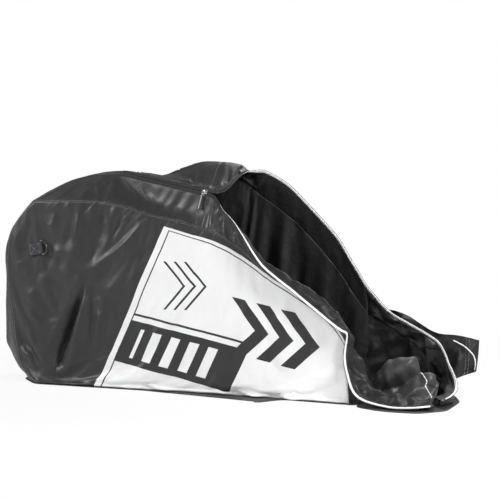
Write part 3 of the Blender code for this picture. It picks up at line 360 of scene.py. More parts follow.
def facets(grid, seed, wavelength, height, count=4):
    """The rise of flat faces with sharp creases between them, as stiff nylon crumples."""
    chance = np.random.default_rng(seed)
    total = np.zeros(grid.shape[:2])
    for k in range(count):
        way = unit(chance.normal(size=3))
        size = wavelength * chance.uniform(0.7, 1.4)
        bent = 0.35 * noise_at(grid, wavelength * 1.8, seed + k * 1.7)
        place = (grid @ way) / size + chance.uniform() + bent
        total += (np.abs((place % 1.0) * 2 - 1) * 2 - 1) / count
    return total * height * 1.6


def borders(grid, edges):
    """0 at a grid's borders and 1 from so many rows and columns inside them."""
    from_end, from_side = (from_ends(n) for n in grid.shape[:2])
    return np.clip(np.minimum(from_end[:, None], from_side[None]) / edges, 0, 1)


def quads(grid):
    """The numbers of a grid's points, and the faces between them."""
    index = np.arange(grid.shape[0] * grid.shape[1]).reshape(grid.shape[:2])
    corners = [index[:-1, :-1], index[1:, :-1], index[1:, 1:], index[:-1, 1:]]
    return index, np.stack(corners, -1).reshape(-1, 4)


def added(name, data):
    piece = bpy.data.objects.new(name, data)
    bpy.context.scene.collection.objects.link(piece)
    return piece


def pins_round(grid, wide=1):
    """Pins at a grid's borders, along its rows so many points wide."""
    pins = np.zeros(grid.shape[:2])
    pins[0] = pins[-1] = 1
    pins[:, :wide] = pins[:, -wide:] = 1
    return pins


def settle(grid, pins, excess, frames=16, cap=0.012, bending=0.6):
    """Lets cloth that is cut larger than its place settle into folds between its pinned points."""
    data = bpy.data.meshes.new("settling")
    data.from_pydata(grid.reshape(-1, 3).tolist(), [], quads(grid)[1].tolist())
    piece = added("settling", data)
    group = piece.vertex_groups.new(name="held")
    flat = pins.reshape(-1)
    for level in np.unique(flat[flat > 0]):
        group.add(np.nonzero(flat == level)[0].tolist(), float(level), "REPLACE")
    piece.shape_key_add(name="start")
    cut = piece.shape_key_add(name="cut")
    cut.data.foreach_set("co", (grid * np.array(excess)).astype(np.float32).ravel())
    cloth = piece.modifiers.new("Cloth", "CLOTH")
    nylon_cloth = dict(
        quality=6, mass=0.12, tension_stiffness=25, compression_stiffness=25, shear_stiffness=8,
        bending_stiffness=bending, air_damping=2, tension_damping=8, compression_damping=8,
        vertex_group_mass="held", pin_stiffness=3, rest_shape_key=cut)
    for label, value in nylon_cloth.items():
        setattr(cloth.settings, label, value)
    cloth.settings.effector_weights.gravity = 0.25
    cloth.collision_settings.use_collision = False
    cloth.point_cache.frame_start, cloth.point_cache.frame_end = 1, frames
    for k in range(1, frames + 1):
        bpy.context.scene.frame_set(k)
    made = piece.evaluated_get(bpy.context.evaluated_depsgraph_get()).to_mesh()
    moved = np.zeros(grid.size, np.float32)
    made.vertices.foreach_get("co", moved)
    bpy.data.objects.remove(piece, do_unlink=True)
    bpy.data.meshes.remove(data)
    bpy.context.scene.frame_set(1)
    shift = moved.reshape(grid.shape).astype(float) - grid
    size = np.linalg.norm(shift, axis=-1, keepdims=True)
    return grid + shift * np.minimum(1, cap / np.maximum(size, 1e-9))


def grounded(grid):
    """The grid, with nothing below the floor cloth."""
    grid[..., 2] = np.maximum(grid[..., 2], LOW)
    return grid


def slumped(grid, scale, height, seed, count, excess, cap=0.010):
    """Slack cloth, crumpled into facets and held at its borders only."""
    rise = facets(grid, seed, scale, height, count) + facets(grid, seed + 5, scale * 0.45, height * 0.35)
    grid = grid + normals(grid) * (rise * borders(grid, 3.0))[..., None]
    return grounded(settle(grid, pins_round(grid), excess, 14, cap, 0.3))


def sheet(name, grid, skins, nodes=(), maps=None, thickness=CLOTH, body="bag", slot="charcoal_nylon"):
    """Two faces and a rim over a grid of points, the first skin on the side of the normals."""
    nu, nv = grid.shape[:2]
    n = normals(grid) * (thickness / 2)
    verts = np.concatenate([(grid + n).reshape(-1, 3), (grid - n).reshape(-1, 3)])
    index, quad = quads(grid)
    rim = np.concatenate([index[:, 0], index[-1, 1:], index[-2::-1, -1], index[0, -2:0:-1]])
    after = np.roll(rim, -1)
    far_side = nu * nv
    edge = np.stack([rim, rim + far_side, after + far_side, after], -1)
    faces = np.concatenate([quad, quad[:, ::-1] + far_side, edge])
    data = bpy.data.meshes.new(name)
    data.from_pydata(verts.tolist(), [], faces.tolist())
    data.shade_smooth()
    for skin in skins:
        data.materials.append(skin)
    kinds = np.zeros(len(faces), np.int32)
    kinds[len(quad):2 * len(quad)] = len(skins) - 1
    data.polygons.foreach_set("material_index", kinds)
    down, across = (np.linalg.norm(np.diff(grid, axis=k), axis=-1) for k in (0, 1))
    u = np.concatenate([np.zeros((1, nv)), np.cumsum(down, 0)])
    v = np.concatenate([np.zeros((nu, 1)), np.cumsum(across, 1)], 1)
    maps = {"cut": np.stack([u, v], -1), **(maps or {})}
    loops = np.zeros(len(data.loops), np.int32)
    data.loops.foreach_get("vertex_index", loops)
    for label, values in maps.items():
        flat = np.concatenate([values.reshape(-1, 2)] * 2)
        data.uv_layers.new(name=label).data.foreach_set("uv", flat[loops].astype(np.float32).ravel())
    return dress(added(name, data), nodes, body)


def dress(piece, nodes, body):
    if nodes:
        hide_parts(*nodes)
    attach(piece, body)
    return piece


def mesh_piece(name, verts, faces, skin, nodes=(), body="bag", slot="charcoal_nylon"):
    data = bpy.data.meshes.new(name)
    data.from_pydata([tuple(map(float, v)) for v in verts], [], [tuple(map(int, f)) for f in faces])
    data.shade_smooth()
    data.materials.append(skin)
    tidy = bmesh.new()
    tidy.from_mesh(data)
    bmesh.ops.recalc_face_normals(tidy, faces=tidy.faces)
    tidy.to_mesh(data)
    tidy.free()
    return dress(added(name, data), nodes, body)


def tube(rings, closed=False):
    """Vertices and faces of a skin over rings of points."""
    rings = np.asarray(rings, float)
    count, sides = rings.shape[:2]
    k = np.arange(count if closed else count - 1)[:, None]
    j = np.arange(sides)[None, :]
    a, b = k * sides + j, k * sides + (j + 1) % sides
    c, d = ((k + 1) % count) * sides + (j + 1) % sides, ((k + 1) % count) * sides + j
    faces = np.stack([a, b, c, d], -1).reshape(-1, 4).tolist()
    if not closed:
        faces += [list(range(sides))[::-1], list(range((count - 1) * sides, count * sides))]
    return rings.reshape(-1, 3), faces


def ovals(middles, sides, ups, half_side, half_up, count=8):
    turn = 2 * np.pi * (np.arange(count) + 0.5) / count
    half_side, half_up = (np.broadcast_to(h, (len(middles),))[:, None, None] for h in (half_side, half_up))
    return (middles[:, None] + sides[:, None] * (half_side * np.cos(turn)[None, :, None])
            + ups[:, None] * (half_up * np.sin(turn)[None, :, None]))


# Materials
class Nodes:
    """A node tree with a few short ways to wire it."""

    def __init__(self, tree):
        self.tree = tree

    def put(self, value, socket):
        if isinstance(value, bpy.types.NodeSocket):
            self.tree.links.new(value, socket)
        else:
            is_colour = isinstance(value, tuple) and len(value) == 3
            socket.default_value = (*value, 1) if is_colour else value

    def made(self, kind, inputs=(), **fixed):
        node = self.tree.nodes.new(kind)
        for label, value in fixed.items():
            setattr(node, label, value)
        for label, value in dict(inputs).items():
            self.put(value, node.inputs[label])
        return node

    def node(self, kind, inputs=(), output=0, **fixed):
        return self.made(kind, inputs, **fixed).outputs[output]

    def math(self, kind, *values):
        return self.node("ShaderNodeMath", dict(enumerate(values)), operation=kind)

    def mix(self, share, first, second):
        return self.node("ShaderNodeMix", {0: share, 6: first, 7: second}, 2, data_type="RGBA")

    def ramp(self, value, low, high, out_low, out_high):
        return self.node("ShaderNodeMapRange", {0: value, 1: low, 2: high, 3: out_low, 4: out_high})


class Look(Nodes):
    """A material, with its colour, roughness and bump."""

    def __init__(self, name, **fixed):
        self.skin = bpy.data.materials.new(name)
        self.skin.use_nodes = True
        super().__init__(self.skin.node_tree)
        self.shader = self.tree.nodes["Principled BSDF"]
        for label, value in fixed.items():
            self.shader.inputs[label.replace("_", " ")].default_value = value
        self.bump = None

    def place(self):
        return self.node("ShaderNodeTexCoord", output=3)

    def noise(self, scale, detail=2.0, distortion=0.0):
        inputs = {"Scale": scale, "Detail": detail, "Distortion": distortion, "Vector": self.place()}
        return self.node("ShaderNodeTexNoise", inputs)

    def parts(self, value):
        return self.made("ShaderNodeSeparateXYZ", {0: value}).outputs[:2]

    def uv(self, name):
        return self.parts(self.node("ShaderNodeUVMap", uv_map=name))

    def raise_by(self, height, strength, distance):
        inputs = {"Height": height, "Strength": strength, "Distance": distance}
        if self.bump is not None:
            inputs["Normal"] = self.bump
        self.bump = self.node("ShaderNodeBump", inputs)
        self.put(self.bump, self.shader.inputs["Normal"])

    def weave(self, pitch, strength, ribs=1.0):
        u, v = self.uv("cut")
        warp = self.math("SINE", self.math("MULTIPLY", u, 2 * math.pi / pitch))
        weft = self.math("SINE", self.math("MULTIPLY", v, 2 * math.pi / (pitch * ribs)))
        threads = self.math("MULTIPLY", warp, weft)
        self.raise_by(threads, strength, pitch * 0.12)
        return threads

    def colour(self, value):
        self.put(value, self.shader.inputs["Base Color"])

    def colour_so_far(self):
        return self.shader.inputs["Base Color"].links[0].from_socket

    def rough(self, grain, low, high):
        self.put(self.ramp(grain, 0.3, 0.7, low, high), self.shader.inputs["Roughness"])


def times(base, share):
    return tuple(min(1.0, c * share) for c in base)


def nylon(name, base, gloss, crinkle, sheen, shine):
    look = Look(name, IOR=1.5, Sheen_Weight=sheen, Sheen_Roughness=0.45, Specular_IOR_Level=shine)
    threads = look.weave(0.0009, 0.12)
    shade = look.mix(look.noise(7.0, 4.0, 0.6), times(base, 0.86), times(base, 1.16))
    look.colour(look.mix(look.ramp(threads, -1, 1, 0.0, 0.18), shade, times(base, 1.5)))
    look.rough(look.noise(26.0, 3.0), gloss - 0.05, gloss + 0.07)
    look.raise_by(look.noise(34.0, 3.0, 1.2), crinkle, 0.004)
    look.raise_by(look.noise(120.0, 2.0, 0.8), crinkle * 0.6, 0.0012)
    return look


charcoal = nylon("charcoal_cloth", (0.020, 0.020, 0.0213), 0.47, 0.22, 0.05, 0.50).skin
# the inner face is a darker copy of the nylon: painted shade for the inside of the bag
lining_painted_shade = nylon("inner_cloth_painted_shade", (0.010, 0.010, 0.0105), 0.48, 0.35, 0.02, 0.35).skin
# a lighter copy of the charcoal nylon for the front fold: painted light where the fold is lit
slack_painted_light = nylon("slack_cloth_painted_light", (0.036, 0.036, 0.038), 0.46, 0.22, 0.06, 0.5).skin


def print_mask(look, x, z, depth):
    """A slanted field with bars, chevrons and keylines, as a mask of white ink over x and height."""
    def inside(value, middle, reach):
        return look.math("COMPARE", value, middle, reach)

    def past(value, limit):
        return look.math("GREATER_THAN", value, limit)

    def under(value, limit):
        return look.math("LESS_THAN", value, limit)

    def both(*masks):
        return reduce(lambda first, second: look.math("MULTIPLY", first, second), masks)

    def either(*masks):
        return reduce(lambda first, second: look.math("MAXIMUM", first, second), masks)

    def without(mask, cut):
        return look.math("MULTIPLY", mask, look.math("SUBTRACT", 1.0, cut))

    def arrows(height, middle, reach, half, tips):
        """Arrowheads that point to the front, each with its tip at a place along the bag."""
        off = look.math("ABSOLUTE", look.math("SUBTRACT", height, middle))
        swept = look.math("ADD", x, look.math("MULTIPLY", off, 0.9))
        return both(under(off, reach), either(*[inside(swept, tip, half) for tip in tips]))

    field_edge, keyline_edge, inner_edge, band_end = -0.398, -0.3765, -0.372, 0.055
    slant = look.math("ADD", x, look.math("MULTIPLY", z, -0.46))
    drop = look.math("ADD", z, look.math("MULTIPLY", x, 0.20))
    # the field starts well below the top seam, and reaches it along the mouth
    depth = look.math("SUBTRACT", depth, look.ramp(x, -0.06, 0.18, 0.036, 0.002))
    below = past(depth, 0.0)
    field = both(below, past(slant, field_edge))
    inner = both(past(depth, 0.013), past(slant, inner_edge))
    keyline = without(both(past(depth, 0.0095), past(slant, keyline_edge)), inner)
    # a dark band that drops to the front, with slanted bars in it
    band, line = (both(inside(drop, middle, half), past(slant, inner_edge), under(slant, band_end))
                  for middle, half in ((0.098, 0.072), (0.190, 0.0035)))
    steps = look.math("PINGPONG", look.math("ADD", slant, 0.4), 0.034)
    bars = both(inside(drop, 0.098, 0.050), under(steps, 0.017), inside(slant, -0.182, 0.146))
    bold = arrows(drop, 0.235, 0.085, 0.022, (0.165, 0.245, 0.325))
    thin = arrows(z, 0.335, 0.075, 0.0045, (-0.09, -0.055, -0.02))
    mask = reduce(without, (field, keyline, band, line, bold, thin))
    return either(mask, both(bars, below))


def printed_nylon():
    look = nylon("printed_cloth", (0.018, 0.018, 0.0192), 0.47, 0.22, 0.05, 0.50)
    mask = print_mask(look, *look.uv("plan"), look.uv("depth")[0])
    ink = look.mix(look.noise(9.0, 3.0), (0.72, 0.72, 0.725), (0.83, 0.83, 0.835))
    look.colour(look.mix(mask, look.colour_so_far(), ink))
    return look.skin


printed = printed_nylon()
TAPE_WEAVE = ((0.016, 0.016, 0.017), 0.0012, 1.6)


def woven(name, base, pitch, ribs, rough=0.8, light=1.5):
    look = Look(name, IOR=1.5, Sheen_Weight=0.1, Specular_IOR_Level=0.35)
    threads = look.weave(pitch, 0.5, ribs)
    shade = look.mix(look.noise(60.0), times(base, 0.8), times(base, 1.25))
    look.colour(look.mix(look.ramp(threads, -1, 1, 0.0, 0.5), shade, times(base, light)))
    look.rough(look.noise(80.0), rough - 0.08, rough + 0.08)
    return look


tape_black = woven("tape_black", *TAPE_WEAVE).skin
webbing_black = woven("webbing_black", (0.020, 0.020, 0.022), 0.0016, 2.0, 0.7, 2.4).skin


def tape_inside(name, first_x):
    """Black tape with a white stripe beside the coil, which starts at a place along the bag."""
    look = woven(name, *TAPE_WEAVE)
    half = 0.0037
    stripe = look.math("COMPARE", look.uv("cut")[1], COIL_SETBACK + half, half)
    started = look.ramp(look.parts(look.place())[0], first_x, first_x + 0.02, 0.0, 1.0)
    stripe = look.math("MULTIPLY", stripe, started)
    look.colour(look.mix(stripe, look.colour_so_far(), (0.82, 0.82, 0.81)))
    return look.skin


near_tape_inner = tape_inside("near_tape_inside", 0.09)
far_tape_inner = tape_inside("far_tape_inside", -0.03)


def plastic(name, base, rough):
    look = Look(name, IOR=1.46)
    look.colour(look.mix(look.noise(90.0, 3.0), times(base, 0.9), times(base, 1.06)))
    look.rough(look.noise(140.0), rough - 0.06, rough + 0.08)
    look.raise_by(look.noise(400.0), 0.15, 0.0004)
    return look.skin


def metal(name, base, rough):
    look = Look(name, Metallic=1.0, IOR=2.4)
    look.colour(look.mix(look.noise(150.0, 4.0, 0.4), times(base, 0.82), base))
    look.rough(look.noise(260.0, 3.0), rough - 0.07, rough + 0.10)
    look.raise_by(look.noise(600.0), 0.12, 0.0002)
    return look.skin


def thread_skin(name, base):
    look = Look(name, Sheen_Weight=0.2)
    look.colour(look.mix(look.noise(300.0), times(base, 0.75), times(base, 1.2)))
    look.rough(look.noise(200.0), 0.55, 0.75)
    return look.skin


coil_white = plastic("coil_white", (0.80, 0.80, 0.79), 0.38)
clip_black = plastic("clip_black", (0.028, 0.028, 0.028), 0.42)
steel = metal("plated_steel", (0.66, 0.67, 0.69), 0.26)
dark_steel = metal("dark_plated_steel", (0.13, 0.13, 0.135), 0.34)
thread_grey = thread_skin("thread_grey", (0.30, 0.30, 0.305))
thread_dark = thread_skin("thread_dark", (0.05, 0.05, 0.052))

# Camera, light and floor
PHOTO_SIZE, FOCAL, SENSOR = 500, 1126, 36.0     # pixels, pixels and mm


def aimed(piece, place, aim):
    piece.location = place
    piece.rotation_euler = (Vector(aim) - Vector(place)).to_track_quat("-Z", "Y").to_euler()


def lamp(name, place, aim, size, power):
    light = bpy.data.lights.new(name, "AREA")
    light.shape = "RECTANGLE"
    light.size, light.size_y = size
    light.energy = power
    aimed(added(name, light), place, aim)


camera = added("camera", bpy.data.cameras.new("camera"))
aimed(camera, (1.293, -3.297, 0.679), (0.145, 0.0, 0.435))
camera.data.sensor_width = SENSOR
camera.data.lens = FOCAL / PHOTO_SIZE * SENSOR
camera.data.shift_x = -17.5 / PHOTO_SIZE
camera.data.shift_y = 2.5 / PHOTO_SIZE
bpy.context.scene.camera = camera
bpy.context.scene.view_settings.view_transform = "Standard"

lamp("key", (-2.7, -1.5, 1.9), (-0.1, 0, 0.3), (0.9, 0.9), 70)
lamp("fill", (1.4, -3.4, 1.6), (0.2, 0, 0.3), (1.2, 1.2), 23)
lamp("back", (0.6, 2.2, 2.8), (0.0, 0, 0.3), (2.2, 0.8), 50)
lamp("front top", (1.6, -0.7, 1.5), (0.60, 0.0, 0.1), (0.5, 0.5), 36)

world = bpy.data.worlds.new("studio")
bpy.context.scene.world = world
world.use_nodes = True
sky = Nodes(world.node_tree)
sky.tree.nodes.clear()
paths = sky.made("ShaderNodeLightPath").outputs
seen = sky.math("MAXIMUM", paths["Is Camera Ray"], paths["Is Transmission Ray"])
plain, white = (sky.node("ShaderNodeBackground", {"Color": (1, 1, 1), "Strength": strength})
                for strength in (0.22, 1.0))
both_skies = sky.node("ShaderNodeMixShader", {0: seen, 1: plain, 2: white})
sky.made("ShaderNodeOutputWorld", {"Surface": both_skies})


def pale_floor():
    look = Look("pale_floor", Roughness=0.9)
    look.colour((0.86, 0.86, 0.86))
    glow = look.node("ShaderNodeEmission", {"Color": (1, 1, 1)})
    # white for the camera, with the bag's shadow left in it near the bag
    distance = look.node("ShaderNodeVectorMath", {0: look.place()}, 1, operation="LENGTH")
    away = look.ramp(distance, 0.9, 1.5, 0.84, 1.0)
    share = look.math("MULTIPLY", look.made("ShaderNodeLightPath").outputs["Is Camera Ray"], away)
    mixed = look.node("ShaderNodeMixShader", {0: share, 1: look.shader.outputs[0], 2: glow})
    look.put(mixed, look.tree.nodes["Material Output"].inputs["Surface"])
    return look.skin


data = bpy.data.meshes.new("studio_floor")
data.from_pydata([(-30, -30, 0), (30, -30, 0), (30, 30, 0), (-30, 30, 0)], [], [(0, 1, 2, 3)])
data.materials.append(pale_floor())
studio_floor = added("studio_floor", data)
studio_floor.location.z = -0.0006

# Both sides: panel and upper cloth on one grid each
NEAR_COLUMNS, FAR_COLUMNS, PANEL_ROWS, UPPER_ROWS, FRONT_COLUMNS = 190, 170, 92, 26, 64
SEAM_ROW, ROW_PITCH = PANEL_ROWS - 1, 0.0062
RING_SPOT, RING_FLAT = (-0.397 * LENGTH, 0.632 * HEIGHT), 0.070
FOLD_FADE = 0.030
panel_rows, upper_rows = np.linspace(0, 1, PANEL_ROWS), np.linspace(0, 1, UPPER_ROWS)
front_shares = np.linspace(0, 1, FRONT_COLUMNS)


def side_columns(side, count):
    """Shares along a side, and how many of them are closed, as the stretches' real lengths ask."""
    closed_run, open_run = (length_of(side.seam(np.linspace(first, last, 60)))
                            for first, last in ((0, side.fork), (side.fork, 1)))
    closed = round(count * closed_run / (closed_run + open_run))
    after = np.linspace(side.fork, 1, count - closed + 1)[1:]
    return np.r_[np.linspace(0, side.fork, closed), after], closed


def side_grid(side, foot, rear, front, bulge, shares, closed):
    low = wall(side, foot, rear, front, bulge, shares, panel_rows)
    split = side.fork
    first = side.upper(0, shares[:closed] / split, upper_rows)
    second = side.upper(1, (shares[closed:] - split) / (1 - split), upper_rows)
    return np.concatenate([low[:, :-1], np.concatenate([first, second])], axis=1)


near_shares, near_closed = side_columns(near, NEAR_COLUMNS)
far_shares, far_closed = side_columns(far, FAR_COLUMNS)
near_grid = side_grid(near, NEAR_FOOT, NEAR_REAR, NEAR_FRONT, -0.014, near_shares, near_closed)
far_grid = side_grid(far, FAR_FOOT, FAR_REAR, FAR_FRONT, 0.010, far_shares, far_closed)

# Main folds of the side panels: a line in shares of LENGTH and HEIGHT, half width, and height outwards
NEAR_FOLDS = [
    ([(-0.277, 0.507), (-0.310, 0.348), (-0.342, 0.174), (-0.352, 0.058)], 0.022, -0.024),
    ([(-0.279, 0.522), (-0.326, 0.348), (-0.361, 0.130)], 0.028, 0.013),
    ([(-0.274, 0.510), (-0.295, 0.290), (-0.323, 0.087)], 0.026, 0.017),
    ([(-0.113, 0.797), (-0.185, 0.661), (-0.260, 0.552), (-0.281, 0.500)], 0.028, 0.015),
    ([(-0.232, 0.848), (-0.242, 0.754), (-0.274, 0.580)], 0.024, -0.010),
    ([(-0.326, 0.812), (-0.343, 0.677), (-0.387, 0.449), (-0.413, 0.341)], 0.030, 0.010),
    ([(-0.290, 0.812), (-0.301, 0.680), (-0.335, 0.468)], 0.026, 0.008),
    ([(-0.445, 0.290), (-0.413, 0.254), (-0.371, 0.072)], 0.024, 0.012),
    ([(-0.439, 0.203), (-0.406, 0.159), (-0.387, 0.087)], 0.020, -0.010),
    ([(-0.077, 0.725), (-0.123, 0.551), (-0.168, 0.362)], 0.040, 0.006),
    ([(-0.013, 0.739), (-0.077, 0.406), (-0.103, 0.232)], 0.036, 0.007),
    ([(0.103, 0.551), (0.077, 0.391), (0.058, 0.217)], 0.030, 0.007),
    ([(0.194, 0.391), (0.161, 0.290), (0.129, 0.130)], 0.026, 0.008),
    ([(0.252, 0.304), (0.226, 0.232), (0.213, 0.116)], 0.024, -0.009),
    ([(-0.213, 0.087), (-0.161, 0.065), (-0.103, 0.072)], 0.024, 0.008),
    ([(-0.052, 0.058), (0.013, 0.068), (0.077, 0.055)], 0.024, 0.008),
]
FAR_FOLDS = [
    ([(-0.426, 0.290), (-0.374, 0.435), (-0.310, 0.609), (-0.258, 0.783)], 0.030, 0.014),
    ([(-0.361, 0.116), (-0.323, 0.319), (-0.258, 0.522)], 0.026, -0.014),
    ([(-0.194, 0.812), (-0.213, 0.580), (-0.245, 0.348), (-0.258, 0.145)], 0.032, 0.013),
    ([(-0.097, 0.870), (-0.116, 0.638), (-0.155, 0.377)], 0.028, -0.010),
    ([(0.013, 0.899), (-0.013, 0.652), (-0.039, 0.362), (-0.052, 0.130)], 0.030, 0.013),
    ([(0.077, 0.783), (0.058, 0.551), (0.045, 0.290)], 0.022, 0.011),
    ([(0.103, 0.725), (0.094, 0.507), (0.084, 0.261)], 0.020, -0.010),
    ([(0.142, 0.638), (0.129, 0.435), (0.123, 0.174)], 0.022, 0.012),
    ([(0.194, 0.551), (0.181, 0.377), (0.168, 0.145)], 0.022, -0.010),
    ([(0.245, 0.391), (0.226, 0.261), (0.206, 0.101)], 0.022, 0.011),
]
# Smaller creases that only the cloth has, in metres: line, half width, height and lean
NEAR_CREASES = [
    ([(-0.436, 0.340), (-0.484, 0.235), (-0.528, 0.120), (-0.545, 0.050)], 0.011, -0.015, 0.4),
    ([(-0.205, 0.545), (-0.262, 0.496), (-0.318, 0.448), (-0.403, 0.385)], 0.010, 0.005, 0.4),
    ([(-0.331, 0.580), (-0.342, 0.528), (-0.350, 0.484), (-0.365, 0.440)], 0.011, 0.006, 0.4),
    ([(-0.300, 0.575), (-0.318, 0.520), (-0.345, 0.470)], 0.009, -0.004, 0.0),
    ([(-0.690, 0.376), (-0.655, 0.392), (-0.640, 0.395)], 0.014, 0.006, 0.3),
    ([(-0.560, 0.425), (-0.535, 0.430), (-0.500, 0.428)], 0.014, 0.005, 0.3),
    ([(-0.535, 0.560), (-0.552, 0.520), (-0.580, 0.490)], 0.013, 0.005, 0.3),
    ([(-0.450, 0.560), (-0.462, 0.500), (-0.470, 0.450)], 0.010, 0.005, -0.3),
    ([(-0.660, 0.250), (-0.620, 0.215), (-0.590, 0.200)], 0.014, 0.006, 0.0),
    ([(-0.685, 0.110), (-0.640, 0.085), (-0.610, 0.040)], 0.012, 0.006, 0.3),
    ([(-0.400, 0.330), (-0.410, 0.250), (-0.425, 0.180)], 0.020, -0.005, 0.0),
    ([(-0.380, 0.300), (-0.385, 0.200), (-0.400, 0.120)], 0.016, 0.005, 0.2),
    ([(-0.620, 0.330), (-0.600, 0.280), (-0.560, 0.230)], 0.014, -0.004, 0.2),
    ([(0.410, 0.120), (0.370, 0.080), (0.330, 0.040)], 0.018, 0.006, 0.0),
    ([(0.250, 0.300), (0.215, 0.240), (0.190, 0.190)], 0.014, 0.004, 0.2),
    ([(-0.300, 0.240), (-0.230, 0.200), (-0.150, 0.190)], 0.018, 0.003, 0.2),
]
FAR_CREASES = [
    ([(-0.600, 0.120), (-0.560, 0.220), (-0.480, 0.330)], 0.014, 0.006, 0.3),
    ([(-0.450, 0.540), (-0.470, 0.440), (-0.520, 0.340)], 0.012, -0.005, 0.0),
    ([(-0.260, 0.520), (-0.280, 0.360), (-0.310, 0.200)], 0.012, 0.005, -0.3),
    ([(-0.100, 0.600), (-0.110, 0.440), (-0.130, 0.260)], 0.012, 0.006, 0.2),
    ([(0.060, 0.600), (0.030, 0.430), (0.010, 0.260)], 0.012, -0.006, 0.0),
    ([(0.180, 0.520), (0.165, 0.360), (0.150, 0.200)], 0.011, 0.005, 0.2),
    ([(0.255, 0.420), (0.235, 0.280), (0.225, 0.140)], 0.011, 0.005, 0.2),
    ([(0.340, 0.330), (0.315, 0.220), (0.290, 0.100)], 0.011, -0.005, 0.0),
]
GUSSET_CREASES = [
    ([(-0.09, 0.50), (-0.03, 0.38), (0.00, 0.24), (0.01, 0.10)], 0.020, 0.010, 0.3),
    ([(0.08, 0.52), (0.04, 0.40), (0.05, 0.26)], 0.018, -0.008, 0.0),
    ([(-0.09, 0.30), (-0.05, 0.20), (-0.04, 0.08)], 0.016, 0.009, -0.3),
    ([(0.09, 0.30), (0.05, 0.18), (0.03, 0.06)], 0.018, 0.009, 0.2),
    ([(-0.07, 0.14), (0.00, 0.10), (0.08, 0.13)], 0.014, 0.008, 0.0),
]


def main_folds(grid, folds, shares):
    """The rise of the part's own folds over a side's grid; the upper cloth past the seam has none."""
    rise = np.zeros(grid.shape[:2])
    for line, width, height in folds:
        rise += crease(grid[..., [0, 2]], [(x * LENGTH, z * HEIGHT) for x, z in line], width, height)
    u, v = shares[:, None], (np.arange(grid.shape[1]) / SEAM_ROW)[None]
    foot_length, rear_length = length_of(grid[:, 0]), length_of(grid[0, :PANEL_ROWS])
    hem = np.minimum(np.minimum(u, 1 - u) * foot_length, np.minimum(v, 1 - v) * rear_length)
    return rise * np.clip(hem / FOLD_FADE, 0, 1)


def held_back(grid, spot, reach):
    """1 away from a spot in x and height, and 0 near it."""
    gap = np.hypot(grid[..., 0] - spot[0], grid[..., 2] - spot[1])
    return 1 - np.exp(-(gap / reach) ** 4)


def fields(grid):
    """A side's rows, which are the panel's, how far the seam is, and fades to it and to both ends."""
    rows = np.arange(grid.shape[1])
    to_seam = np.abs(rows - SEAM_ROW) * ROW_PITCH
    away = 1 - np.exp(-(to_seam / 0.012) ** 2)
    ends = np.clip(from_ends(len(grid))[:, None] / 5.0, 0, 1)
    return rows, rows < SEAM_ROW, to_seam, away, ends


def gathers(grid, height, many, coarse, fine):
    """Small folds that fan out from the double seam, from two noises of a size and seeds each."""
    _, _, to_seam, _, ends = fields(grid)
    run = run_of(grid[:, SEAM_ROW])
    comb = wavy(run, *coarse) + 0.5 * wavy(run, *fine)
    fan = np.exp(-to_seam / 0.030) * (1 - np.exp(-to_seam / 0.003))
    return height * (comb * many)[:, None] * fan[None] * ends


def near_displaced(grid):
    rows, panel, _, away, ends = fields(grid)
    x, z = grid[..., 0], grid[..., 2]
    low = np.clip(rows / 6.0, 0, 1) ** 0.7
    calm = held_back(grid, RING_SPOT, RING_FLAT)
    rise = creased(grid[..., [0, 2]], NEAR_CREASES)
    rise *= 1.5 * (panel * low * away)[None] * ends * calm
    seam_x = grid[:, SEAM_ROW, 0]
    at_rear, at_slider = (np.exp(-((seam_x + middle) / reach) ** 2)
                          for middle, reach in ((0.33, 0.09), (0.06, 0.11)))
    many = 0.35 + 0.9 * at_rear + 0.8 * at_slider
    rise += gathers(grid, 0.0072, many, (0.011, (3.7, 1.1)), (0.005, (9.2, 4.4)))
    # soft pleats that run from the slider down over the closed upper cloth
    closed = (rows > SEAM_ROW) * np.exp(-((x - slider_spot[0] + 0.10) / 0.13) ** 2)
    slant = x - slider_spot[0] - 0.8 * (z - slider_spot[2])
    rise += 0.0015 * closed * np.sin(slant / 0.0080 + 3.5 * noise_at(grid, 0.09, 6.0)) * ends * away[None]
    # small wrinkles, longer than they are wide, drawn towards the slider
    quiet = ends * (0.3 + 0.7 * away)[None] * low[None] * (0.5 + 0.5 * panel)[None]
    rise += 0.0022 * noise_at(grid, 0.060, 1.0, (1.6, 1, 0.8)) * quiet
    unprinted = np.clip((0.46 * z - 0.35 - x) / 0.05, 0.35, 1)
    rise += facets(grid, 3, 0.120, 0.0080, 3) * unprinted * quiet * calm
    rise += facets(grid, 8, 0.055, 0.0009) * unprinted * quiet * calm
    # the rolled lip along the mouth is crumpled
    lip = (rows > SEAM_ROW) * np.clip((x - slider_spot[0]) / 0.05, 0, 1)
    rise += (facets(grid, 15, 0.050, 0.0050) + facets(grid, 19, 0.022, 0.0018)) * lip * ends * away[None]
    rise *= np.clip(rows[::-1] / 3.0, 0, 1)[None]
    moved = grid + normals(grid) * rise[..., None]
    moved[..., 1] -= main_folds(grid, NEAR_FOLDS, near_shares) * calm
    # cloth that has slid down lies in small bulges along the foot
    foot = np.exp(-rows / 4.0) * np.clip(rows / 1.5, 0, 1)
    bulges = wavy(x[:, 0], 0.060, (2.0, 5.0)) + 0.2 * wavy(x[:, 0], 0.030, (4.0, 1.0))
    sunk = np.maximum(bulges + 0.35, 0)[:, None] * foot[None] * ends
    moved[..., 1] -= 0.028 * sunk
    moved[..., 2] -= 0.008 * sunk * np.clip(rows / 3.0, 0, 1)
    return moved


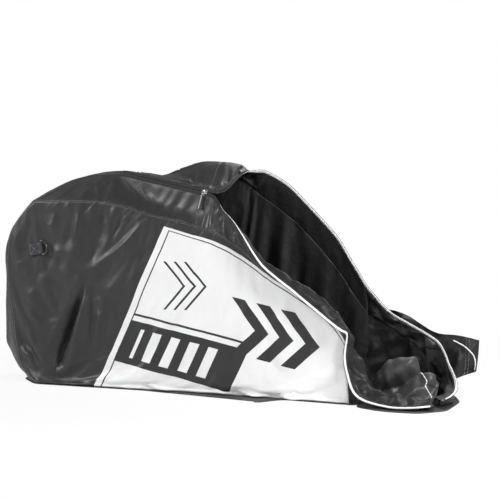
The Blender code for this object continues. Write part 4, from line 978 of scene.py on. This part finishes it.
def far_displaced(grid):
    rows, panel, _, away, ends = fields(grid)
    x, y = grid[..., 0], grid[..., 1]
    low = np.clip(rows / 6.0, 0, 1)
    rise = creased(grid[..., [0, 2]], FAR_CREASES) * ((panel * low * away)[None] * ends)
    rise += gathers(grid, 0.0028, 1.0, (0.012, (6.1, 2.2)), (0.006, (5.2, 7.4)))
    # pleats that fan from the slider over the hump
    hump = (rows > SEAM_ROW) * np.exp(-((x + 0.03) / 0.10) ** 2)
    over = (rows - SEAM_ROW) / (rows[-1] - SEAM_ROW)
    fan = np.exp(-((over - 0.78) / 0.20) ** 2) * np.clip((1 - over) / 0.12, 0, 1)
    slant = x - slider_spot[0] + 0.35 * (y - slider_spot[1])
    pleats = np.sin(slant / 0.0056 + 3.5 * noise_at(grid, 0.08, 8.0))
    rise += 0.0050 * hump * (0.9 + 0.7 * noise_at(grid, 0.040, 9.0)) * fan[None] * pleats * ends
    rise += 0.0075 * hump * np.sin(np.pi * np.clip(over, 0, 1))[None] * ends
    quiet = ends * (0.3 + 0.7 * away)[None] * low[None] * (0.5 + 0.5 * panel)[None]
    wrinkles = 0.0030 * noise_at(grid, 0.050, 2.0, (1.5, 1, 0.8))
    rise += wrinkles * quiet + facets(grid, 23, 0.105, 0.0050) * quiet
    moved = grid - normals(grid) * rise[..., None]
    moved[..., 1] += main_folds(grid, FAR_FOLDS, far_shares)
    return moved


def settled_side(grid):
    """A side's cloth, held at its borders and half held at its seam."""
    pins = pins_round(grid, 2)
    pins[:, SEAM_ROW] = 0.5
    return grounded(settle(grid, pins, (1.035, 1.0, 1.02)))


def cloth_piece(name, grid, node, skin=charcoal, held="stretched", rests="bottom_panel", **more):
    """A sheet that stands for a node, with the size of its own cut."""
    piece = sheet(name, grid, [skin, lining_painted_shade], [node], **more)


near_settled = settled_side(near_displaced(near_grid))
near_panel, near_upper = near_settled[:, :PANEL_ROWS], near_settled[:, SEAM_ROW:]
seam_gap = np.linalg.norm(near_panel - near_panel[:, -1:], axis=-1)
print_maps = {"plan": near_grid[:, :PANEL_ROWS][..., [0, 2]], "depth": np.stack([seam_gap, seam_gap * 0], -1)}
cloth_piece("near_side_cloth", near_panel, "near_side_panel", printed, slot="printed_nylon", maps=print_maps)
cloth_piece("near_top_cloth", near_upper[:near_closed], "near_top_strip")
cloth_piece("near_mouth_cloth", near_upper[near_closed - 1:], "near_mouth_strip")
# the lip that lies rolled outwards round the slumped end
near_front = near.upper(2, front_shares, upper_rows)
near_front[0] = near_upper[-1]
near_front = slumped(near_front, 0.060, 0.009, 11, 4, (1.06, 1.04, 1.04))
cloth_piece("near_front_cloth", near_front, "near_front_strip", held="folded")

far_settled = settled_side(far_displaced(far_grid))
far_upper = far_settled[:, SEAM_ROW:]
cloth_piece("far_side_cloth", far_settled[::-1, :PANEL_ROWS], "far_side_panel")
cloth_piece("far_top_cloth", far_upper[far_closed - 1::-1], "far_top_strip")
cloth_piece("far_mouth_cloth", far_upper[:far_closed - 2:-1], "far_mouth_strip")
far_front = far.upper(2, front_shares, upper_rows)
far_front[0] = far_upper[-1]
far_front = slumped(far_front, 0.060, 0.009, 21, 4, (1.05, 1.03, 1.04))
# where the end of the lip stands free of the flap, its cloth hangs on to the floor
hem = far_front[:, -1]
hanging = np.clip((hem[:, 0] / LENGTH - 0.398) / 0.014, 0.03, 1)[:, None]
ground = hem * (1, 1, 0) + (-0.004, 0, LOW + 0.001)
drops = [(hem + (ground - hem) * hanging * k / 8)[:, None] for k in range(1, 9)]
far_front = grounded(np.concatenate([far_front, *drops], axis=1))
cloth_piece("far_front_cloth", far_front[::-1], "far_front_strip", held="folded")

# Rear end
GUSSET_ROWS, GUSSET_ACROSS = 92, 45


def gusset_grid():
    rows = np.linspace(0, 1, GUSSET_ROWS)
    a, m, b = (curve(outline)(rows) for outline in (NEAR_REAR, GUSSET_MIDDLE, FAR_REAR))
    out = []
    for q in np.linspace(1, -1, GUSSET_ACROSS):
        side = b if q > 0 else a
        drawn = m + (side - m) * abs(q) ** 2.6
        drawn[:, 1] = side[:, 1] * abs(q)
        out.append(drawn)
    return np.array(out)


gusset = gusset_grid()
rise = creased(gusset[..., [1, 2]], GUSSET_CREASES) + 0.003 * noise_at(gusset, 0.045, 5.0)
fade = np.outer(*(np.clip(from_ends(count) / 4.0, 0, 1) for count in gusset.shape[:2]))
gusset = gusset + normals(gusset) * (rise * fade)[..., None]
gusset = settle(gusset, pins_round(gusset), (1.0, 1.04, 1.03), cap=0.010)
cloth_piece("rear_end_cloth", gusset, "rear_gusset")


# Slumped front: inner fold and spread flap
def three_rails(rails, columns, rows):
    ends = [curve(rail)(np.linspace(0, 1, columns)) for rail in rails]
    return np.array([by_length(smooth(points, 12))(np.linspace(0, 1, rows)) for points in zip(*ends)])


fold = three_rails((FOLD_NEAR_FOOT, FOLD_RIDGE, FOLD_FAR_FOOT), 42, 70)
fold = slumped(fold, 0.100, 0.017, 37, 3, (1.05, 1.05, 1.04), 0.012)
cloth_piece("front_fold_cloth", fold, "front_inner_fold", slack_painted_light, "folded", "front_floor_panel")

flap = three_rails((FLAP_FOOT, FLAP_MIDDLE, FLAP_TOP), 72, 36)
# the flap laps over the far panel's edge
laps = [(flap[0] + shift)[None] for shift in ((-0.010, 0.0016, 0), (-0.004, 0.0012, 0))]
flap = np.concatenate([*laps, flap[1:]])[::-1]
over = np.clip((0.345 - flap[:, -1, 0] / LENGTH) / 0.05, 0.05, 1)[:, None]
flap = np.concatenate([flap, (flap[:, -1] + over * (-0.001, 0.0012, 0.010))[:, None]], axis=1)
flap = slumped(flap, 0.120, 0.014, 41, 3, (1.04, 1.04, 1.04))
cloth_piece("front_flap_cloth", flap, "far_front_panel", held="folded", rests="front_floor_panel")


def rounded(outline, reach):
    """An outline in metres with each corner cut to a soft bend."""
    points = np.array(outline) * (LENGTH, WIDTH)
    bends = []
    for before, corner, after in zip(np.roll(points, 1, 0), points, np.roll(points, -1, 0)):
        first, last = (corner + (p - corner) * min(0.45, reach / np.linalg.norm(p - corner))
                       for p in (before, after))
        bends += [first * (1 - t) ** 2 + corner * 2 * t * (1 - t) + last * t * t
                  for t in np.linspace(0, 1, 5)]
    return bends


def floor_cloth(name, outline, node):
    """Cloth that lies on the ground in small ripples."""
    mesh = bmesh.new()
    face = mesh.faces.new([mesh.verts.new((x, y, 0)) for x, y in rounded(outline, 0.022)])
    bmesh.ops.triangulate(mesh, faces=[face])
    for limit in (0.12, 0.06, 0.03, 0.016):
        long = [e for e in mesh.edges if e.calc_length() > limit]
        bmesh.ops.subdivide_edges(mesh, edges=long, cuts=1, use_grid_fill=False)
        bmesh.ops.triangulate(mesh, faces=mesh.faces[:])
    rim = {v for e in mesh.edges if e.is_boundary for v in e.verts}
    for vert in mesh.verts:
        x, y, _ = vert.co
        ripple = noise.noise(Vector((x / 0.05, y / 0.05, 3.0))) * 0.5 + 0.5
        vert.co.z = (0.2 if vert in rim else 1.0) * RIPPLE_HEIGHT * ripple
    bmesh.ops.recalc_face_normals(mesh, faces=mesh.faces[:])
    if sum(f.normal.z for f in mesh.faces) < 0:
        bmesh.ops.reverse_faces(mesh, faces=mesh.faces[:])
    shell = bmesh.ops.extrude_face_region(mesh, geom=mesh.faces[:])
    for vert in [v for v in shell["geom"] if isinstance(v, bmesh.types.BMVert)]:
        vert.co.z += FLOOR_THICK
    bmesh.ops.recalc_face_normals(mesh, faces=mesh.faces[:])
    layer = mesh.loops.layers.uv.new("cut")
    area = 0.0
    for f in mesh.faces:
        area += f.calc_area() * (f.normal.z > 0.5)
        for loop in f.loops:
            loop[layer].uv = loop.vert.co.xy
    data = bpy.data.meshes.new(name)
    mesh.to_mesh(data)
    mesh.free()
    data.shade_smooth()
    data.materials.append(charcoal)
    piece = dress(added(name, data), [node], "bag")


floor_cloth("bottom_cloth", FLOOR, "bottom_panel")
floor_cloth("front_floor_cloth", FRONT_FLOOR, "front_floor_panel")

# Zip: tapes and coils
SEWN_UNDER, TOOTH_PITCH = 0.004, 0.0009


def tape_and_coil(side, label, inner):
    """One half of the zip: its tape, which sinks where it is sewn under the cloth, and its coil."""
    reach = np.r_[np.linspace(0, TAPE_WIDTH, 7), TAPE_WIDTH + SEWN_UNDER * 0.4, TAPE_WIDTH + SEWN_UNDER]
    sink = np.r_[np.zeros(6), 0.0003, 0.0009, 0.0010]
    grid = side.edge[:, None] + side.way[:, None] * reach[:, None] - side.normal[:, None] * sink[:, None]
    grid[..., 2] = np.maximum(grid[..., 2], 0.0012)
    sheet(f"{label}_tape", grid[::side.side], [tape_black, inner], [f"{label}_zip_tape"],
          thickness=TAPE_THICK, slot="zip_tape")
    run = run_of(side.edge)
    count = int(run[-1] / TOOTH_PITCH)
    where = np.linspace(0, run[-1], count)
    way, normal = (unit(read_at(where, run, values)) for values in (side.way, side.normal))
    depth = TAPE_THICK / 2 + COIL_THICK / 2
    middle = read_at(where, run, side.edge) + way * (COIL_SETBACK + COIL_WIDTH / 2) - normal * depth
    tooth = np.where(np.arange(count) % 2 == 0, 1.0, 0.80)
    tooth[0] = tooth[-1] = 0.6
    rings = ovals(middle, way, normal, COIL_WIDTH / 2 * (0.9 + 0.1 * tooth), COIL_THICK / 2 * tooth)
    mesh_piece(f"{label}_coil", *tube(rings), coil_white, [f"{label}_zip_coil"], slot="zip_coil")


tape_and_coil(near, "near", near_tape_inner)
tape_and_coil(far, "far", far_tape_inner)


# Stitching
def stitches(name, line, out, skin=thread_grey, pitch=0.0042, long=0.0030, thick=0.00042,
             slot="charcoal_nylon"):
    """Short threads in a row along a line on the cloth, sunk at their ends."""
    run = run_of(line)
    count = max(2, int(run[-1] / pitch))
    starts = (np.arange(count) + 0.2) * run[-1] / count
    rings = []
    for share, size, lift in ((0, 0.4, -0.2), (0.25, 1, 0.8), (0.75, 1, 0.8), (1, 0.4, -0.2)):
        where = starts + share * long
        up = unit(read_at(where, run, out))
        along = unit(read_at(where + 1e-4, run, line) - read_at(where - 1e-4, run, line))
        middle = read_at(where, run, line) + up * (CLOTH / 2 + thick * lift)
        rings.append(ovals(middle, unit(np.cross(up, along)), up, thick * size * 1.2, thick * size, 4))
    faces = []
    for base in range(0, 16 * count, 16):
        for ring in range(base, base + 12, 4):
            for a, b in ((ring + j, ring + (j + 1) % 4) for j in range(4)):
                faces.append((a, b, b + 4, a + 4))
        faces += [(base + 3, base + 2, base + 1, base), (base + 12, base + 13, base + 14, base + 15)]
    mesh_piece(name, np.stack(rings, 1).reshape(-1, 3), faces, skin, slot=slot)


def between(first, second, share):
    return first * (1 - share) + second * share


near_out, far_out, gusset_out = normals(near_settled), -normals(far_settled), normals(gusset)
for label, grid, out in (("near", near_settled, near_out), ("far", far_settled, far_out)):
    for height, row, share in (("low", SEAM_ROW - 1, 0.45), ("high", SEAM_ROW + 1, 0.55)):
        line = between(grid[:, SEAM_ROW], grid[:, row], share)
        stitches(f"{label}_seam_thread_{height}", line, out[:, row])
for label, grid, out, column, toward in (
        ("near_rear_thread_front", near_settled[:, :PANEL_ROWS], near_out[:, :PANEL_ROWS], 0, 1),
        ("near_rear_thread_back", gusset, gusset_out, -1, -2),
        ("far_rear_thread_front", far_settled[:, :PANEL_ROWS], far_out[:, :PANEL_ROWS], 0, 1),
        ("far_rear_thread_back", gusset, gusset_out, 0, 1)):
    stitches(label, between(grid[column], grid[toward], 0.5), out[toward])
for label, grid, out in (("near", near_settled[near_closed:], near_out[near_closed:]),
                         ("far", far_settled, far_out)):
    stitches(f"{label}_hem_thread", between(grid[:, -1], grid[:, -2], 0.5), out[:, -2], thread_dark)
flap_out = -normals(flap)
stitches("flap_seam_thread_a", flap[6], flap_out[6])
stitches("flap_seam_thread_b", flap[8], flap_out[8])


def piping(name, grid, out, spots, half=0.0021):
    """A white cord sewn to a cloth, along spots given as shares of its columns and rows."""
    route = smooth(np.array(spots, float), 16) * (grid.shape[0] - 1, grid.shape[1] - 1)
    low = np.minimum(np.floor(route).astype(int), (grid.shape[0] - 2, grid.shape[1] - 2))
    part = route - low

    def read(values):
        (i, j), (s, t) = low.T, part.T[..., None]
        return ((values[i, j] * (1 - s) + values[i + 1, j] * s) * (1 - t)
                + (values[i, j + 1] * (1 - s) + values[i + 1, j + 1] * s) * t)

    up = unit(read(out))
    line = read(grid) + up * (CLOTH / 2 + 0.0005)
    side = unit(np.cross(up, unit(np.gradient(line, axis=0))))
    mesh_piece(name, *tube(ovals(line, side, up, half, 0.0009, 10)), coil_white)


FLAP_CORD = [(0.22, 0.86), (0.10, 0.70), (0.045, 0.52), (0.02, 0.30), (0.015, 0.05)]
FOLD_CORD = [(0.78, 0.46), (0.84, 0.36), (0.83, 0.27), (0.92, 0.19), (0.94, 0.10)]
piping("flap_piping", flap, flap_out, FLAP_CORD)
piping("fold_piping", fold, normals(fold), FOLD_CORD, 0.0017)

# Ring, its webbing, and the pull's grip
WIRE, RING_INSIDE, RING_SLACK = 0.0045, 0.0400, 0.0005
WEBBING_WIDTH, WEBBING_THICK, GRIP_WIDTH, GRIP_THICK, LOOP_GAP = 0.038, 0.0012, 0.0070, 0.0013, 0.00025
PULL_BAR, PULL_SLACK = 0.0016, 0.0004


def placed(points, place):
    return points @ place[:3, :3].T + place[:3, 3]


def placement(origin, x_axis, y_axis, z_axis):
    place = np.eye(4)
    place[:3, 0], place[:3, 1], place[:3, 2], place[:3, 3] = x_axis, y_axis, z_axis, origin
    return place


ring_place = placement((-0.58901, -0.11226, 0.44085), (0.98377, -0.04242, 0.17433),
                       (-0.04528, -0.9989, 0.01246), (0.17361, -0.02015, -0.98461))
grip_place = placement((-0.0408, -0.08158, 0.6093), (0.21537, 0.13202, 0.96757),
                       (0.1717, 0.97026, -0.17061), (-0.96132, 0.20288, 0.18629))


def band_path(tail, neck, bar_radius, layer):
    """A band's course in a plane: a tail, a loop round a bar, and back over the tail."""
    radius = bar_radius + layer / 2
    low = -radius
    high = low + layer + LOOP_GAP
    turn = np.radians(-90 + 205 * np.arange(25) / 24)
    loop = np.stack([radius * np.cos(turn), radius * np.sin(turn)], -1)
    tail_low = np.stack([np.linspace(-neck - tail, -neck, 24), np.full(24, low)], -1)
    lead = np.stack([np.linspace(-neck, 0, 6)[1:-1], np.full(4, low)], -1)
    back = np.linspace(loop[-1], (-neck, high), 7)[1:]
    tail_high = np.stack([np.linspace(-neck, -neck - tail, 24)[1:], np.full(23, high)], -1)
    return np.vstack([tail_low, lead, loop, back, tail_high])


def band(name, path, width, layer, place, skins, nodes, slot, body, across):
    grid = np.zeros((len(path), across, 3))
    grid[..., :2] = path[:, None]
    grid[..., 2] = np.linspace(-width / 2, width / 2, across)
    sheet(name, placed(grid, place), skins, nodes, thickness=layer, slot=slot, body=body)


ring_path = band_path(0.040, 0.007, WIRE / 2 + RING_SLACK, WEBBING_THICK)
band("ring_webbing_band", ring_path, WEBBING_WIDTH, WEBBING_THICK, ring_place,
     [webbing_black, webbing_black], ["ring_webbing"], "webbing", "bag", 19)


def box_cross(name, x_low, x_high, half, y, place):
    """A box of stitches with a cross in it."""
    corners = [(x_low, -half), (x_high, -half), (x_high, half), (x_low, half), (x_low, -half), (x_high, half)]
    other = [(x_low, half), (x_high, -half)]
    steps = np.linspace(0, 1, 30)[:, None]
    for label, turns in (("box", corners), ("cross", other)):
        flat = np.vstack([between(np.array(a), np.array(b), steps) for a, b in zip(turns, turns[1:])])
        line = placed(np.insert(flat, 1, y, axis=1), place)
        up = np.tile(place[:3, 1], (len(line), 1))
        stitches(f"{name}_{label}", line, up, pitch=0.0030, long=0.0024, thick=0.00040, slot="webbing")


low_layer = -(WIRE / 2 + RING_SLACK + WEBBING_THICK / 2)
top_of_band = low_layer + WEBBING_THICK + LOOP_GAP + WEBBING_THICK / 2 - CLOTH / 2
box_cross("ring_thread", -0.0445, -0.0100, 0.0155, top_of_band, ring_place)


def ring_wire():
    half, corner, depth = (RING_INSIDE + WIRE) / 2, 0.0030, 0.0200
    path = [(0.0, z) for z in np.linspace(-half + corner, half - corner, 10)]
    for turn in np.linspace(0, np.pi / 2, 8)[1:-1]:
        path.append((corner - corner * math.cos(turn), half - corner + corner * math.sin(turn)))
    for turn in np.linspace(np.pi / 2, -np.pi / 2, 40):
        path.append((corner + (depth - corner) * math.cos(turn), half * math.sin(turn)))
    for turn in np.linspace(np.pi / 2, 0, 8)[1:-1]:
        path.append((corner - corner * math.cos(turn), -half + corner - corner * math.sin(turn)))
    path = np.array(path)
    ahead = unit(np.roll(path, -1, 0) - np.roll(path, 1, 0))
    middle = np.insert(path, 1, 0.0, axis=1)
    side = np.stack([-ahead[:, 1], np.zeros(len(path)), ahead[:, 0]], -1)
    up = np.tile((0.0, 1.0, 0.0), (len(path), 1))
    verts, faces = tube(ovals(middle, side, up, WIRE / 2, WIRE / 2, 16), closed=True)
    mesh_piece("ring_wire", placed(verts, ring_place), faces, dark_steel, ["d_ring"],
               body="ring", slot="steel")


def grip_skin():
    """Grey woven band with dark edges."""
    look = woven("grip_band", (0.30, 0.30, 0.31), 0.0010, 1.5, 0.6, 1.3)
    middle = look.math("COMPARE", look.uv("cut")[1], GRIP_WIDTH / 2, 0.0020)
    look.colour(look.mix(middle, (0.018, 0.018, 0.019), look.colour_so_far()))
    return look.skin


ring_wire()
grip_path = band_path(0.034, 0.005, PULL_BAR * 0.5 * math.sqrt(2) + PULL_SLACK, GRIP_THICK)
band("pull_grip_band", grip_path, GRIP_WIDTH, GRIP_THICK, grip_place, [grip_skin(), clip_black],
     ["zip_pull_grip"], "grip_band", "grip", 11)

# CAD pieces that stay, with their finishes
for label, skin in (("zip_slider", steel), ("zip_pull", steel), ("rear_zip_stop", clip_black),
                    ("near_zip_stop", clip_black), ("far_zip_stop", clip_black)):
    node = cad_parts[label]
    node.data.materials.clear()
    node.data.materials.append(skin)
    rounding = node.modifiers.new("Rounded edges", "BEVEL")
    rounding.width = 0.00025
    rounding.segments = 2
    rounding.angle_limit = math.radians(40)
